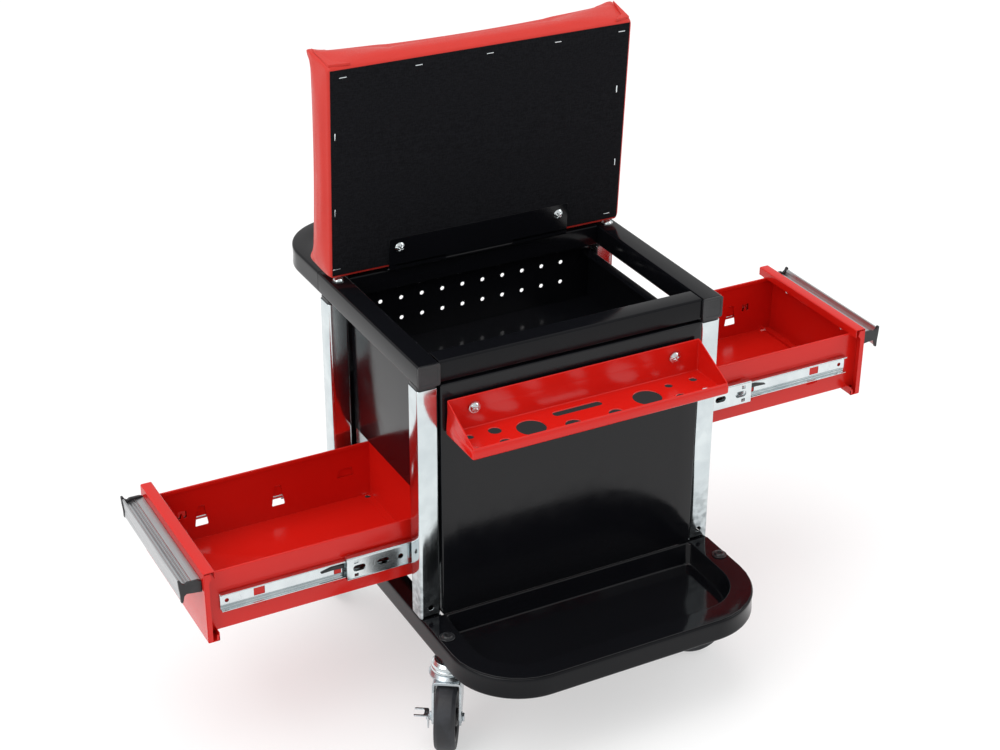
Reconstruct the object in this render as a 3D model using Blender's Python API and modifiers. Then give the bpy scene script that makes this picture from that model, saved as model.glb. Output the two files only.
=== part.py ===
# Rolling workshop seat: a square-tube frame on four swivel casters, with a padded lid over a
# tool compartment, a drawer that opens to each side, a front tray and a punched tool holder.
# Metres, +Z up, front towards -Y. The origin is on the floor under the middle of the footprint.
# It stands as it is shown in use: the lid open on its stop and both drawers pulled out.
import math

import bmesh
import bpy
from mathutils import Matrix, Vector

for old_object in list(bpy.data.objects):
    bpy.data.objects.remove(old_object, do_unlink=True)

# ---------------------------------------------------------------- driving dimensions
GAP = 0.0003                  # between pieces that touch
SHEET = 0.0012                # folded sheet steel
THIN_SHEET = 0.0010           # drawers and cabinet panels

TUBE = 0.025                  # square tube of the rails and hoops
TUBE_CORNER = 0.0025
POST = 0.0238                 # square tube of the posts
POST_CORNER = 0.0030
TUBE_WALL = 0.0015

FRAME_WIDTH = 0.3646          # over the side rails
FRAME_DEPTH = 0.2495          # front face of the front posts to rear face of the rear posts
FRAME_HEIGHT = 0.2832         # top of the base tubes to the underside of the top rails
TRAY_REACH = 0.150            # base hoop in front of the front posts
HANDLE_REACH = 0.1375         # push hoop behind the rear posts
BASE_BEND = 0.079             # outer radius of the base hoop's bends
HANDLE_BEND = 0.075           # outer radius of the push hoop's bends
BEND_STEPS = 7
RAIL_OVERHANG = 0.0029        # end caps in front of the front posts
RAIL_TAIL = 0.0030            # rails behind the rear posts, up to the push hoop
REAR_RAIL_INSET = 0.0020      # rear cross rail in front of the rear posts' rear faces
CAP_FACE = 0.0022
CAP_PLUG = 0.008
PLUG_CLEARANCE = 0.0009        # caps' plugs inside the tubes, whose corners are round

TRAY_DEPTH = 0.0235
TRAY_DRAFT = 0.0035
TRAY_BACK_DRAFT = 0.0067
TRAY_LIP_INSET = 0.002        # flange edge inside the hoop's outer face
TRAY_BACK_LIP = 0.0022        # flange along the front panel
TRAY_CORNER = 0.007           # radius of its rear corners
TRAY_LIP_CORNER = 0.003

PANEL_PROUD = 0.0023          # front panel in front of the posts
PANEL_RETURN = 0.010
SIDE_FACE_INSET = 0.0028      # side panels' outer faces inside the posts' inner sides
PANEL_SIDE_GAP = 0.0016       # panels to posts
PANEL_TOP_GAP = 0.0012        # panels to the top rails
REAR_PANEL_INSET = 0.0155     # rear panel's inner face in front of the rear posts' rear face
HOLE_PITCH = 0.0257           # punched rows in the rear panel
HOLE_RADIUS = 0.0025
HOLES_PER_ROW = 10
HOLE_ROWS = (0.0184, 0.0435)  # below the top rails

COMPARTMENT_DEPTH = 0.070     # compartment floor below the top rails
COMPARTMENT_SLIT = 0.0080     # compartment wall to the top rails
COMPARTMENT_FLANGE = 0.013
COMPARTMENT_GAP = 0.001       # its side walls to the side panels
CUTTER_REACH = 0.003          # cutters beyond the sheet on each side

HOLDER_INSET = 0.0048         # holder's ends inside the front panel's edges
HOLDER_REACH = 0.059
HOLDER_BACK = 0.0385          # height of its back
HOLDER_LIP = 0.011            # height of its front lip
HOLDER_TOP_DROP = 0.0181      # its back's top edge below the top rails
HOLDER_STANDOFF = 0.0035      # between the front panel and the holder's back
HOLDER_SCREW_X = 0.121
HOLDER_SPACER = 0.005         # radius
HOLDER_SCREW_DROP = 0.0146    # screws below its back's top edge

DRAWER_HEIGHT = 0.0857        # front plate
PLATE_CLEARANCE = 0.00265     # front plate to the posts on each side
DRAWER_THICK = 0.0130
DRAWER_FOLD = 0.010           # fold behind the front plate's edges
DRAWER_END_ROOM = 0.0572      # shut drawer's rear wall to the far side face
BOX_HEIGHT = 0.0712
BOX_RAISE = 0.0051            # box above the plate's lower edge
DRAWER_PITCH = 0.0887         # upper drawer above the lower
LOWER_DRAWER_RAISE = 0.0295   # lower plate above the base tubes
LOWER_OPENING = 0.2431        # how far each drawer stands out
UPPER_OPENING = 0.2375
SIDE_PANEL_OVERLAP = 0.0015   # right side panel's top below the upper plate's lower edge

SLIDE_THICK = 0.0128          # a ball slide across its three members
SLIDE_SHORTER = 0.0042        # slides shorter than the drawer's box
SLIDE_MIDDLE_SHORTER = 0.025  # middle member shorter than the other two
SLIDE_STEEL = 0.0012
SLIDE_TURN = 0.0014           # chamfer at the bends
OUTER_ACROSS = (0.0, 0.0104)  # web and lips inside the bay's side, for each member
MIDDLE_ACROSS = (0.0029, 0.0107)
INNER_LIP = 0.0056
SLIDE_RAISE = 0.0349          # slide centre above the box's lower edge
SLIDE_SETBACK = 0.0061        # slide's end behind the front plate
SLIDE_MIDDLE_SETBACK = 0.0235
OUTER_HALF = 0.0175           # half heights of the three members
MIDDLE_HALF = 0.0136
INNER_HALF = 0.01035
BRACKET_MARGIN = 0.006        # bracket's edges beyond the outer members and its ends short of the frame

PULL_HALF = 0.0932            # half its length, with the end caps
PULL_CAP = 0.0035
PULL_DROP = 0.0152            # pull's centre line below the plate's upper edge

HINGE_RISE = 0.0020           # hinge axis above the top rails
HINGE_FORWARD = 0.0035        # hinge axis in front of the rear cross rail
HINGE_HALF = 0.112
KNUCKLE_HALF = 0.042          # half of the frame leaf's middle knuckle
KNUCKLE_RADIUS = 0.0026
PIN_RADIUS = 0.0012
PIN_CLEARANCE = 0.0004
LEAF = 0.0012
LID_ANGLE = math.radians(86.5)
LID_FACE = 0.00165            # seat's underside below the hinge axis, when it is shut
BOARD_INSET = 0.0043          # board's side edges inside the cushion's
BOARD_LENGTH = 0.2377
BOARD_START = 0.0065          # board's rear edge in front of the hinge axis, when it is shut
BOARD_THICK = 0.0100
BACKING = 0.0007
CUSHION_OVERHANG = 0.0012     # cushion beyond the side rails
CUSHION_START = 0.0029
CUSHION_END = 0.2525
CUSHION_THICK = 0.0476
CUSHION_CORNER = 0.007
POCKET_CLEARANCE = 0.0005     # board in the cushion's pocket

CASTER_HEAD = 0.0215          # wheel's top to the underside of the base tubes
SWIVEL_INSET = 0.0118         # swivel axes inside the frame's outer faces
FRONT_SWIVEL_REACH = 0.042    # front swivel axes in front of the front posts
REAR_SWIVEL_INSET = 0.0125    # rear swivel axes in front of the rear posts' rear faces
WHEEL_RADIUS = 0.0375
WHEEL_WIDTH = 0.023
HUB_WIDTH = 0.0245
AXLE_RADIUS = 0.004
AXLE_CLEARANCE = 0.0004
TRAIL = 0.025
FORK_STEEL = 0.0025
FORK_GAP = 0.0265             # between the fork's arms
CUP_RADIUS = 0.0195
CROWN_RADIUS = 0.0215
LEVER_DROP = 0.0155           # brake lever's plate below the axle
LEVER_RISE = 0.0045           # and above it
LEVER_REACH = 0.0160          # its foot tab out from the plate
LEVER_HALF = 0.0060
TAB_HALF = 0.0075
LEVER_STEEL = 0.0015
LEVER_CLEARANCE = 0.0035      # plate to the fork's arm
CASTER_YAWS = {               # the way each wheel trails, about +Z from +X, in degrees
    "front_left": 238.0,
    "front_right": 170.0,
    "rear_left": 91.0,
    "rear_right": 84.0,
}
BRAKED = ("front_left", "front_right")

# ---------------------------------------------------------------- derived places
HALF = FRAME_WIDTH / 2
FRONT = (TRAY_REACH - FRAME_DEPTH - HANDLE_REACH) / 2
REAR = FRONT + FRAME_DEPTH
MIDDLE_Y = FRONT + FRAME_DEPTH / 2
RAIL_X = HALF - TUBE / 2
CASTER_HEIGHT = 2 * WHEEL_RADIUS + CASTER_HEAD
BASE_TOP = CASTER_HEIGHT + TUBE
RAIL_BOTTOM = BASE_TOP + FRAME_HEIGHT
RAIL_TOP = RAIL_BOTTOM + TUBE
SEAM = REAR + RAIL_TAIL
REAR_RAIL_BACK = REAR - REAR_RAIL_INSET
PANEL_HALF = HALF - POST - PANEL_SIDE_GAP
PANEL_TOP = RAIL_BOTTOM - PANEL_TOP_GAP
SIDE_FACE = HALF - POST - SIDE_FACE_INSET
BAY_HALF = FRAME_DEPTH / 2 - POST - 2 * GAP - THIN_SHEET
BOX_WIDTH = 2 * (BAY_HALF - SLIDE_THICK - GAP)
DRAWER_WIDTH = FRAME_DEPTH - 2 * (POST + PLATE_CLEARANCE)
DRAWER_LENGTH = 2 * SIDE_FACE - DRAWER_END_ROOM
SLIDE_LENGTH = DRAWER_LENGTH - SLIDE_SHORTER
SLIDE_MIDDLE_LENGTH = SLIDE_LENGTH - SLIDE_MIDDLE_SHORTER
HOLDER_HALF = PANEL_HALF - HOLDER_INSET
CUSHION_HALF = HALF + CUSHION_OVERHANG
BOARD_HALF = CUSHION_HALF - BOARD_INSET
HINGE_Y = REAR_RAIL_BACK - TUBE - HINGE_FORWARD
HINGE_Z = RAIL_TOP + HINGE_RISE
PULL_OUTLINE = (              # outward from the plate, up from the pull's centre line
    (0.0, 0.006), (0.010, 0.006), (0.0155, 0.0038), (0.0195, 0.0056), (0.0225, 0.0110),
    (0.0240, 0.0106), (0.0225, -0.0020), (0.0225, -0.0095), (0.0205, -0.0090),
    (0.0175, -0.0042), (0.010, -0.006), (0.0, -0.006),
)

parts = bpy.data.collections.new("rolling_workshop_seat")
cutters = bpy.data.collections.new("cutters")
bpy.context.scene.collection.children.link(parts)
bpy.context.scene.collection.children.link(cutters)


# ---------------------------------------------------------------- helpers
def material(name, colour, roughness, metallic=0.0):
    """A plain Principled material, shared by the pieces made of it."""
    made = bpy.data.materials.get(name)
    if made is None:
        made = bpy.data.materials.new(name)
        made.use_nodes = True
        shader = made.node_tree.nodes["Principled BSDF"]
        shader.inputs["Base Color"].default_value = (*colour, 1.0)
        shader.inputs["Roughness"].default_value = roughness
        shader.inputs["Metallic"].default_value = metallic
    return made


black_paint = material("black_powder_coat", (0.012, 0.012, 0.014), 0.22)
red_paint = material("red_powder_coat", (0.62, 0.015, 0.02), 0.28)
zinc = material("zinc_plate", (0.72, 0.74, 0.76), 0.28, 1.0)
aluminium = material("brushed_aluminium", (0.74, 0.74, 0.75), 0.38, 1.0)
black_plastic = material("black_plastic", (0.03, 0.03, 0.032), 0.5)
rubber = material("wheel_rubber", (0.03, 0.03, 0.03), 0.75)
vinyl = material("red_vinyl", (0.60, 0.02, 0.02), 0.42)
plywood = material("plywood", (0.46, 0.32, 0.18), 0.7)
backing_cloth = material("backing_cloth", (0.01, 0.01, 0.011), 0.9)


def add_part(name, mesh, surface, parent=None, place=None):
    """Link a finished mesh as a named part, at a place under its parent."""
    part = bpy.data.objects.new(name, mesh)
    parts.objects.link(part)
    if surface:
        mesh.materials.clear()
        mesh.materials.append(surface)
    part.parent = parent
    part.location = place or (0.0, 0.0, 0.0)
    return part


def mesh_from(bm, name):
    bmesh.ops.recalc_face_normals(bm, faces=bm.faces)
    mesh = bpy.data.meshes.new(name)
    bm.to_mesh(mesh)
    bm.free()
    return mesh


def block(low, high):
    """A bmesh box between two corners."""
    bm = bmesh.new()
    bmesh.ops.create_cube(bm, size=1.0)
    low, high = Vector(low), Vector(high)
    for vertex in bm.verts:
        vertex.co = [low[i] + (vertex.co[i] + 0.5) * (high[i] - low[i]) for i in range(3)]
    return bm


def faces_towards(bm, axis, sign):
    """The faces of a bmesh whose normals point along one axis."""
    bm.normal_update()
    return [face for face in bm.faces if face.normal[axis] * sign > 0.9]


def thicken(part, thickness, offset=-1.0):
    solid = part.modifiers.new("thickness", "SOLIDIFY")
    solid.thickness = thickness
    solid.offset = offset
    solid.use_even_offset = True
    return part


def straight_tube(name, low, high, axis, corner, surface, wall=TUBE_WALL):
    """An open square tube between two corners, along one axis."""
    bm = block(low, high)
    ends = faces_towards(bm, axis, 1) + faces_towards(bm, axis, -1)
    bmesh.ops.delete(bm, geom=ends, context="FACES")
    edges = [e for e in bm.edges if abs((e.verts[0].co - e.verts[1].co).normalized()[axis]) > 0.9]
    bmesh.ops.bevel(bm, geom=edges, offset=corner, segments=2, profile=0.5, affect="EDGES")
    return thicken(add_part(name, mesh_from(bm, name), surface), wall)


def curve_mesh(name, curve_object):
    """Turn a curve object into a welded mesh and remove the curve."""
    bpy.context.view_layer.update()
    evaluated = curve_object.evaluated_get(bpy.context.evaluated_depsgraph_get())
    mesh = bpy.data.meshes.new_from_object(evaluated)
    bm = bmesh.new()
    bm.from_mesh(mesh)
    bm.transform(curve_object.matrix_world)
    bmesh.ops.remove_doubles(bm, verts=bm.verts, dist=0.00001)
    bpy.data.objects.remove(curve_object, do_unlink=True)
    bpy.data.meshes.remove(mesh)
    return mesh_from(bm, name)


def poly_curve(name, points, closed):
    """A flat curve object through points, in its own XY plane."""
    data = bpy.data.curves.new(name, "CURVE")
    data.dimensions = "2D"
    line = data.splines.new("POLY")
    line.points.add(len(points) - 1)
    for slot, (x, y) in zip(line.points, points):
        slot.co = (x, y, 0.0, 1.0)
    line.use_cyclic_u = closed
    curve_object = bpy.data.objects.new(name, data)
    cutters.objects.link(curve_object)
    return curve_object


def rounded_square(half, corner, steps=2):
    """Corner points of a square with rounded corners, counter-clockwise."""
    points = []
    for turn in range(4):
        centre = math.pi / 4 + turn * math.pi / 2
        cx = math.copysign(half - corner, math.cos(centre))
        cy = math.copysign(half - corner, math.sin(centre))
        for step in range(steps + 1):
            angle = turn * math.pi / 2 + step * math.pi / 2 / steps
            points.append((cx + corner * math.cos(angle), cy + corner * math.sin(angle)))
    return points


def bent_path(start_y, end_y, bend):
    """Centre line of a U-shaped tube: two legs at +-RAIL_X and two round bends."""
    way = math.copysign(1.0, end_y - start_y)
    points = [(-RAIL_X, start_y)]
    for step in range(BEND_STEPS + 1):
        angle = step * math.pi / 2 / BEND_STEPS
        points.append((-RAIL_X + bend * (1 - math.cos(angle)), end_y - way * bend * (1 - math.sin(angle))))
    return points + [(-x, y) for x, y in reversed(points)]


def bent_tube(name, path, low_z, surface):
    """An open square tube swept along a level path, standing on low_z."""
    profile = poly_curve(name + "_profile", rounded_square(TUBE / 2, TUBE_CORNER), True)
    centre_line = poly_curve(name + "_path", path, False)
    centre_line.location.z = low_z + TUBE / 2
    centre_line.data.bevel_mode = "OBJECT"
    centre_line.data.bevel_object = profile
    mesh = curve_mesh(name, centre_line)
    bpy.data.objects.remove(profile, do_unlink=True)
    return thicken(add_part(name, mesh, surface), TUBE_WALL)


def extruded(name, outline, half_length):
    """A solid from a flat outline (x, z), as long as twice half_length along Y, as a mesh."""
    flat = poly_curve(name, outline, True)
    flat.data.fill_mode = "BOTH"
    flat.data.extrude = half_length
    flat.rotation_euler.x = math.pi / 2
    return curve_mesh(name, flat)


def folded_sheet(name, profile, axis, start, end, thickness, surface, parent=None, place=None):
    """A sheet folded along a profile and as long as start to end along one axis."""
    bm = bmesh.new()
    others = [i for i in range(3) if i != axis]
    line = []
    for first, second in profile:
        point = [0.0, 0.0, 0.0]
        point[axis] = start
        point[others[0]], point[others[1]] = first, second
        line.append(bm.verts.new(point))
    edges = [bm.edges.new(pair) for pair in zip(line, line[1:])]
    swept = bmesh.ops.extrude_edge_only(bm, edges=edges)["geom"]
    step = Vector([end - start if i == axis else 0.0 for i in range(3)])
    bmesh.ops.translate(bm, vec=step, verts=[v for v in swept if isinstance(v, bmesh.types.BMVert)])
    mesh = bpy.data.meshes.new(name)
    bm.to_mesh(mesh)
    bm.free()
    return thicken(add_part(name, mesh, surface, parent, place), thickness, 1.0)


def pan(name, low, high, open_faces, thickness, surface, parent=None, place=None):
    """A sheet box between two corners with some faces left open, walls inside the corners."""
    bm = block(low, high)
    for axis, sign in open_faces:
        bmesh.ops.delete(bm, geom=faces_towards(bm, axis, sign), context="FACES")
    mesh = bpy.data.meshes.new(name)
    bm.to_mesh(mesh)
    bm.free()
    return thicken(add_part(name, mesh, surface, parent, place), thickness)


def turned(name, profile, steps, surface, parent=None, place=None, axis="Z"):
    """A turned solid from a closed (radius, height) profile."""
    mesh = bpy.data.meshes.new(name)
    ring = [(radius, 0.0, height) for radius, height in profile]
    edges = [(i, (i + 1) % len(ring)) for i in range(len(ring))]
    mesh.from_pydata(ring, edges, [])
    part = add_part(name, mesh, surface, parent, place)
    screw = part.modifiers.new("turn", "SCREW")
    screw.steps = screw.render_steps = steps
    screw.use_merge_vertices = True
    screw.merge_threshold = 0.00001
    screw.use_normal_calculate = True
    if axis == "Y":
        part.rotation_euler.x = math.pi / 2
    return part


def tool(name, bm, place=None, parent=None):
    """A hidden cutter or joiner, under the same parent as the part it works on."""
    helper = bpy.data.objects.new(name, mesh_from(bm, name))
    cutters.objects.link(helper)
    helper.parent = parent
    helper.location = place or (0.0, 0.0, 0.0)
    helper.hide_render = True
    helper.display_type = "WIRE"
    return helper


def boolean(part, helper, operation="DIFFERENCE"):
    step = part.modifiers.new(operation.lower(), "BOOLEAN")
    step.operation = operation
    step.solver = "EXACT"
    step.object = helper
    return part


def rod(bm, radius, start, end, sides=12):
    """Add a cylinder between two points to a bmesh."""
    start, end = Vector(start), Vector(end)
    turn = (end - start).to_track_quat("Z", "Y").to_matrix().to_4x4()
    bmesh.ops.create_cone(
        bm, cap_ends=True, segments=sides, radius1=radius, radius2=radius,
        depth=(end - start).length, matrix=Matrix.Translation((start + end) / 2) @ turn)
    return bm


def empty(name, place, turn=(0.0, 0.0, 0.0), parent=None):
    """A joint's frame, which its pieces hang from."""
    frame = bpy.data.objects.new(name, None)
    parts.objects.link(frame)
    frame.parent = parent
    frame.location = place
    frame.rotation_euler = turn
    return frame


# ---------------------------------------------------------------- frame
def add_top_frame():
    front_end = FRONT - RAIL_OVERHANG + CAP_FACE + GAP
    for side, x in (("left", -RAIL_X), ("right", RAIL_X)):
        low = (x - TUBE / 2, front_end, RAIL_BOTTOM)
        high = (x + TUBE / 2, SEAM - GAP / 2, RAIL_TOP)
        straight_tube("top_rail_" + side, low, high, 1, TUBE_CORNER, black_paint)
        add_end_cap("rail_end_cap_" + side, x, front_end - GAP)
    inner = RAIL_X - TUBE / 2 - GAP
    for name, y in (("front", FRONT), ("rear", REAR_RAIL_BACK - TUBE)):
        low = (-inner, y, RAIL_BOTTOM)
        high = (inner, y + TUBE, RAIL_TOP)
        straight_tube("top_rail_" + name, low, high, 0, TUBE_CORNER, black_paint)


def add_end_cap(name, x, back):
    """A plastic cap on a rail's front end, with a plug that sits inside the tube."""
    middle = RAIL_BOTTOM + TUBE / 2
    half, plug = TUBE / 2, TUBE / 2 - TUBE_WALL - PLUG_CLEARANCE
    bm = block((x - half, back - CAP_FACE, middle - half), (x + half, back, middle + half))
    rear = faces_towards(bm, 1, 1)
    bmesh.ops.inset_region(bm, faces=rear, thickness=half - plug, use_even_offset=True)
    swept = bmesh.ops.extrude_face_region(bm, geom=rear)["geom"]
    bmesh.ops.delete(bm, geom=rear, context="FACES_ONLY")
    plug_end = [v for v in swept if isinstance(v, bmesh.types.BMVert)]
    bmesh.ops.translate(bm, vec=(0, CAP_PLUG, 0), verts=plug_end)
    add_part(name, mesh_from(bm, name), black_plastic)


def add_posts():
    bottom, top = BASE_TOP + GAP, RAIL_BOTTOM - GAP
    for end, y in (("front", FRONT), ("rear", REAR - POST)):
        for side, x in (("left", -HALF), ("right", HALF - POST)):
            name = "post_" + end + "_" + side
            straight_tube(name, (x, y, bottom), (x + POST, y + POST, top), 2, POST_CORNER, zinc)


def add_hoops():
    back = REAR + HANDLE_REACH - TUBE / 2
    bent_tube("push_hoop", bent_path(SEAM + GAP / 2, back, HANDLE_BEND - TUBE / 2),
              RAIL_BOTTOM, black_paint)
    front = FRONT - TRAY_REACH + TUBE / 2
    bent_tube("base_hoop", bent_path(REAR, front, BASE_BEND - TUBE / 2), CASTER_HEIGHT, black_paint)
    inner = RAIL_X - TUBE / 2 - GAP
    straight_tube("base_rear_cross", (-inner, REAR - TUBE, CASTER_HEIGHT), (inner, REAR, BASE_TOP),
                  0, TUBE_CORNER, black_paint)


# ---------------------------------------------------------------- front tray
def rounded_ring(bm, half_x, front_y, back_y, front_radius, back_radius, z, steps=6):
    """Vertices round a rectangle with round corners, counter-clockwise seen from above."""
    corners = (
        (half_x, back_y, back_radius, 0.0), (-half_x, back_y, back_radius, 90.0),
        (-half_x, front_y, front_radius, 180.0), (half_x, front_y, front_radius, 270.0))
    ring = []
    for x, y, radius, start in corners:
        cx = x - math.copysign(radius, x)
        cy = y + (radius if y == front_y else -radius)
        for step in range(steps + 1):
            angle = math.radians(start + 90.0 * step / steps)
            ring.append(bm.verts.new((cx + radius * math.cos(angle), cy + radius * math.sin(angle), z)))
    return ring


def add_front_tray():
    """A pressed tray: a flange on the base hoop, drafted walls inside it and a flat floor."""
    top = BASE_TOP + GAP + SHEET
    clear = TUBE + GAP + SHEET
    hoop_front = FRONT - TRAY_REACH
    back = FRONT - PANEL_PROUD - GAP
    bm = bmesh.new()
    rings = [
        rounded_ring(bm, HALF - TRAY_LIP_INSET, hoop_front + TRAY_LIP_INSET, back,
                     BASE_BEND - TRAY_LIP_INSET, TRAY_LIP_CORNER, top),
        rounded_ring(bm, HALF - clear, hoop_front + clear, back - TRAY_BACK_LIP,
                     BASE_BEND - clear, TRAY_CORNER, top),
        rounded_ring(bm, HALF - clear - TRAY_DRAFT, hoop_front + clear + TRAY_DRAFT,
                     back - TRAY_BACK_LIP - TRAY_BACK_DRAFT, BASE_BEND - clear - TRAY_DRAFT,
                     TRAY_CORNER, top - TRAY_DEPTH),
    ]
    count = len(rings[0])
    for outer, inner in zip(rings, rings[1:]):
        for i in range(count):
            j = (i + 1) % count
            bm.faces.new((outer[i], outer[j], inner[j], inner[i]))
    bm.faces.new(rings[-1])
    mesh = bpy.data.meshes.new("front_tray")
    bm.to_mesh(mesh)
    bm.free()
    thicken(add_part("front_tray", mesh, black_paint), SHEET)


# ---------------------------------------------------------------- cabinet panels
def add_panels():
    front = FRONT - PANEL_PROUD
    pan("front_panel", (-PANEL_HALF, front, BASE_TOP + GAP), (PANEL_HALF, front + PANEL_RETURN, PANEL_TOP),
        [(1, 1)], THIN_SHEET, black_paint)
    face = REAR - REAR_PANEL_INSET
    rear = pan("rear_panel", (-PANEL_HALF, face, BASE_TOP + GAP),
               (PANEL_HALF, face + PANEL_RETURN, PANEL_TOP), [(1, 1)], THIN_SHEET, black_paint)
    holes = bmesh.new()
    for drop in HOLE_ROWS:
        for i in range(HOLES_PER_ROW):
            x = (i - (HOLES_PER_ROW - 1) / 2) * HOLE_PITCH
            z = RAIL_BOTTOM - drop
            rod(holes, HOLE_RADIUS, (x, face - CUTTER_REACH, z), (x, face + CUTTER_REACH, z), 8)
    boolean(rear, tool("rear_panel_holes", holes))
    add_side_panel("side_panel_left", -1.0, BASE_TOP + LOWER_DRAWER_RAISE + DRAWER_PITCH - GAP, PANEL_TOP)
    upper_bottom = BASE_TOP + LOWER_DRAWER_RAISE + DRAWER_PITCH - SIDE_PANEL_OVERLAP
    add_side_panel("side_panel_right", 1.0, BASE_TOP + GAP, upper_bottom)
    add_compartment()


def add_side_panel(name, side, low_z, high_z):
    """A side sheet between the posts, with its top and bottom edges folded inwards."""
    face, fold = side * SIDE_FACE, side * (SIDE_FACE - PANEL_RETURN)
    profile = [(fold, low_z), (face, low_z), (face, high_z), (fold, high_z)]
    if side > 0:
        profile.reverse()
    folded_sheet(name, profile, 1, MIDDLE_Y - BAY_HALF, MIDDLE_Y + BAY_HALF, THIN_SHEET, black_paint)


def add_compartment():
    """The tool compartment's floor and side walls, from the front panel to the rear panel."""
    half = SIDE_FACE - THIN_SHEET - COMPARTMENT_GAP
    low, high = RAIL_BOTTOM - COMPARTMENT_DEPTH, RAIL_BOTTOM - COMPARTMENT_SLIT
    profile = [(half - COMPARTMENT_FLANGE, high), (half, high), (half, low), (-half, low),
               (-half, high), (COMPARTMENT_FLANGE - half, high)]
    start = FRONT - PANEL_PROUD + THIN_SHEET + GAP
    folded_sheet("compartment", profile, 1, start, REAR - REAR_PANEL_INSET - GAP, THIN_SHEET, black_paint)


# ---------------------------------------------------------------- tool holder
def add_tool_holder():
    """An open tray with a low front lip, trapezoid ends and a floor punched for hand tools."""
    back = FRONT - PANEL_PROUD - HOLDER_STANDOFF
    top = RAIL_BOTTOM - HOLDER_TOP_DROP
    bottom = top - HOLDER_BACK
    half = HOLDER_HALF
    bm = block((-half, back - HOLDER_REACH, bottom), (half, back, top))
    bmesh.ops.delete(bm, geom=faces_towards(bm, 2, 1), context="FACES")
    for vertex in bm.verts:
        if vertex.co.y < back - HOLDER_REACH / 2 and vertex.co.z > bottom + HOLDER_BACK / 2:
            vertex.co.z = bottom + HOLDER_LIP
    mesh = bpy.data.meshes.new("tool_holder")
    bm.to_mesh(mesh)
    bm.free()
    holder = thicken(add_part("tool_holder", mesh, red_paint), SHEET)
    boolean(holder, tool("tool_holder_holes", holder_holes(back, bottom)))
    for side in (-1, 1):
        x, z = side * HOLDER_SCREW_X, top - HOLDER_SCREW_DROP
        panel_face = FRONT - PANEL_PROUD - GAP
        spacer = rod(bmesh.new(), HOLDER_SPACER, (x, back - SHEET / 2, z), (x, panel_face, z))
        boolean(holder, tool("tool_holder_spacer", spacer), "UNION")


def holder_holes(back, bottom):
    """Cutters for the holder's floor: one slot and two rows of round holes."""
    large, medium, small = 0.016, 0.00725, 0.0045
    rows = (
        (0.0280, ((-0.069, large), (0.071, large))),
        (0.0162, ((-0.1344, small), (-0.1055, medium), (0.105, small), (0.136, small))),
        (0.0420, ((-0.137, 0.004), (-0.1055, 0.007), (-0.0255, 0.010),
                  (0.0255, 0.009), (0.1055, 0.006), (0.137, 0.005))),
    )
    low, high = bottom - CUTTER_REACH, bottom + CUTTER_REACH
    bm = bmesh.new()
    for distance, holes in rows:
        for x, radius in holes:
            sides = 14 if radius > 0.008 else 10
            rod(bm, radius, (x, back - distance, low), (x, back - distance, high), sides)
    slot = block((-0.0365, back - 0.020, low), (0.0225, back - 0.010, high))
    bmesh.ops.bevel(slot, geom=[e for e in slot.edges if abs(e.verts[0].co.z - e.verts[1].co.z) > 0.001],
                    offset=0.0048, segments=3, profile=0.5, affect="EDGES")
    joined = bpy.data.meshes.new("slot")
    slot.to_mesh(joined)
    slot.free()
    bm.from_mesh(joined)
    bpy.data.meshes.remove(joined)
    return bm


# ---------------------------------------------------------------- drawers and slides
def slide_profile(half, web, lip, edge_drop, way):
    """A C-section (across, up) with its web at one distance and its lips at another."""
    turn = SLIDE_TURN * way
    upper = [(lip, half - edge_drop), (lip - turn, half), (web + turn, half), (web, half - SLIDE_TURN)]
    lower = [(across, -up) for across, up in reversed(upper)]
    return upper + lower


def add_slide(drawer, label, side, centre_z, fixed, middle, moving):
    """One three-part ball slide. Across is measured outwards from the drawer's centre line."""
    sections = {
        "outer": (
            slide_profile(OUTER_HALF, *[BAY_HALF - inset for inset in OUTER_ACROSS], 0.0015, -1),
            SLIDE_LENGTH, SLIDE_SETBACK, fixed),
        "middle": (
            slide_profile(MIDDLE_HALF, *[BAY_HALF - inset for inset in MIDDLE_ACROSS], 0.0010, -1),
            SLIDE_MIDDLE_LENGTH, SLIDE_MIDDLE_SETBACK, middle),
        "inner": (
            slide_profile(INNER_HALF, BOX_WIDTH / 2 + GAP, BAY_HALF - INNER_LIP, 0.0010, 1),
            SLIDE_LENGTH, SLIDE_SETBACK, moving),
    }
    for member, (profile, length, setback, parent) in sections.items():
        outline = [(side * across, up) for across, up in profile]
        inward = (member == "inner") != (side > 0)
        if inward:
            outline.reverse()
        end = SIDE_FACE + GAP - setback
        name = "slide_" + member + "_" + drawer + "_" + label
        folded_sheet(name, outline, 0, end - length, end, SLIDE_STEEL, zinc, parent, (0, 0, centre_z))


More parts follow.
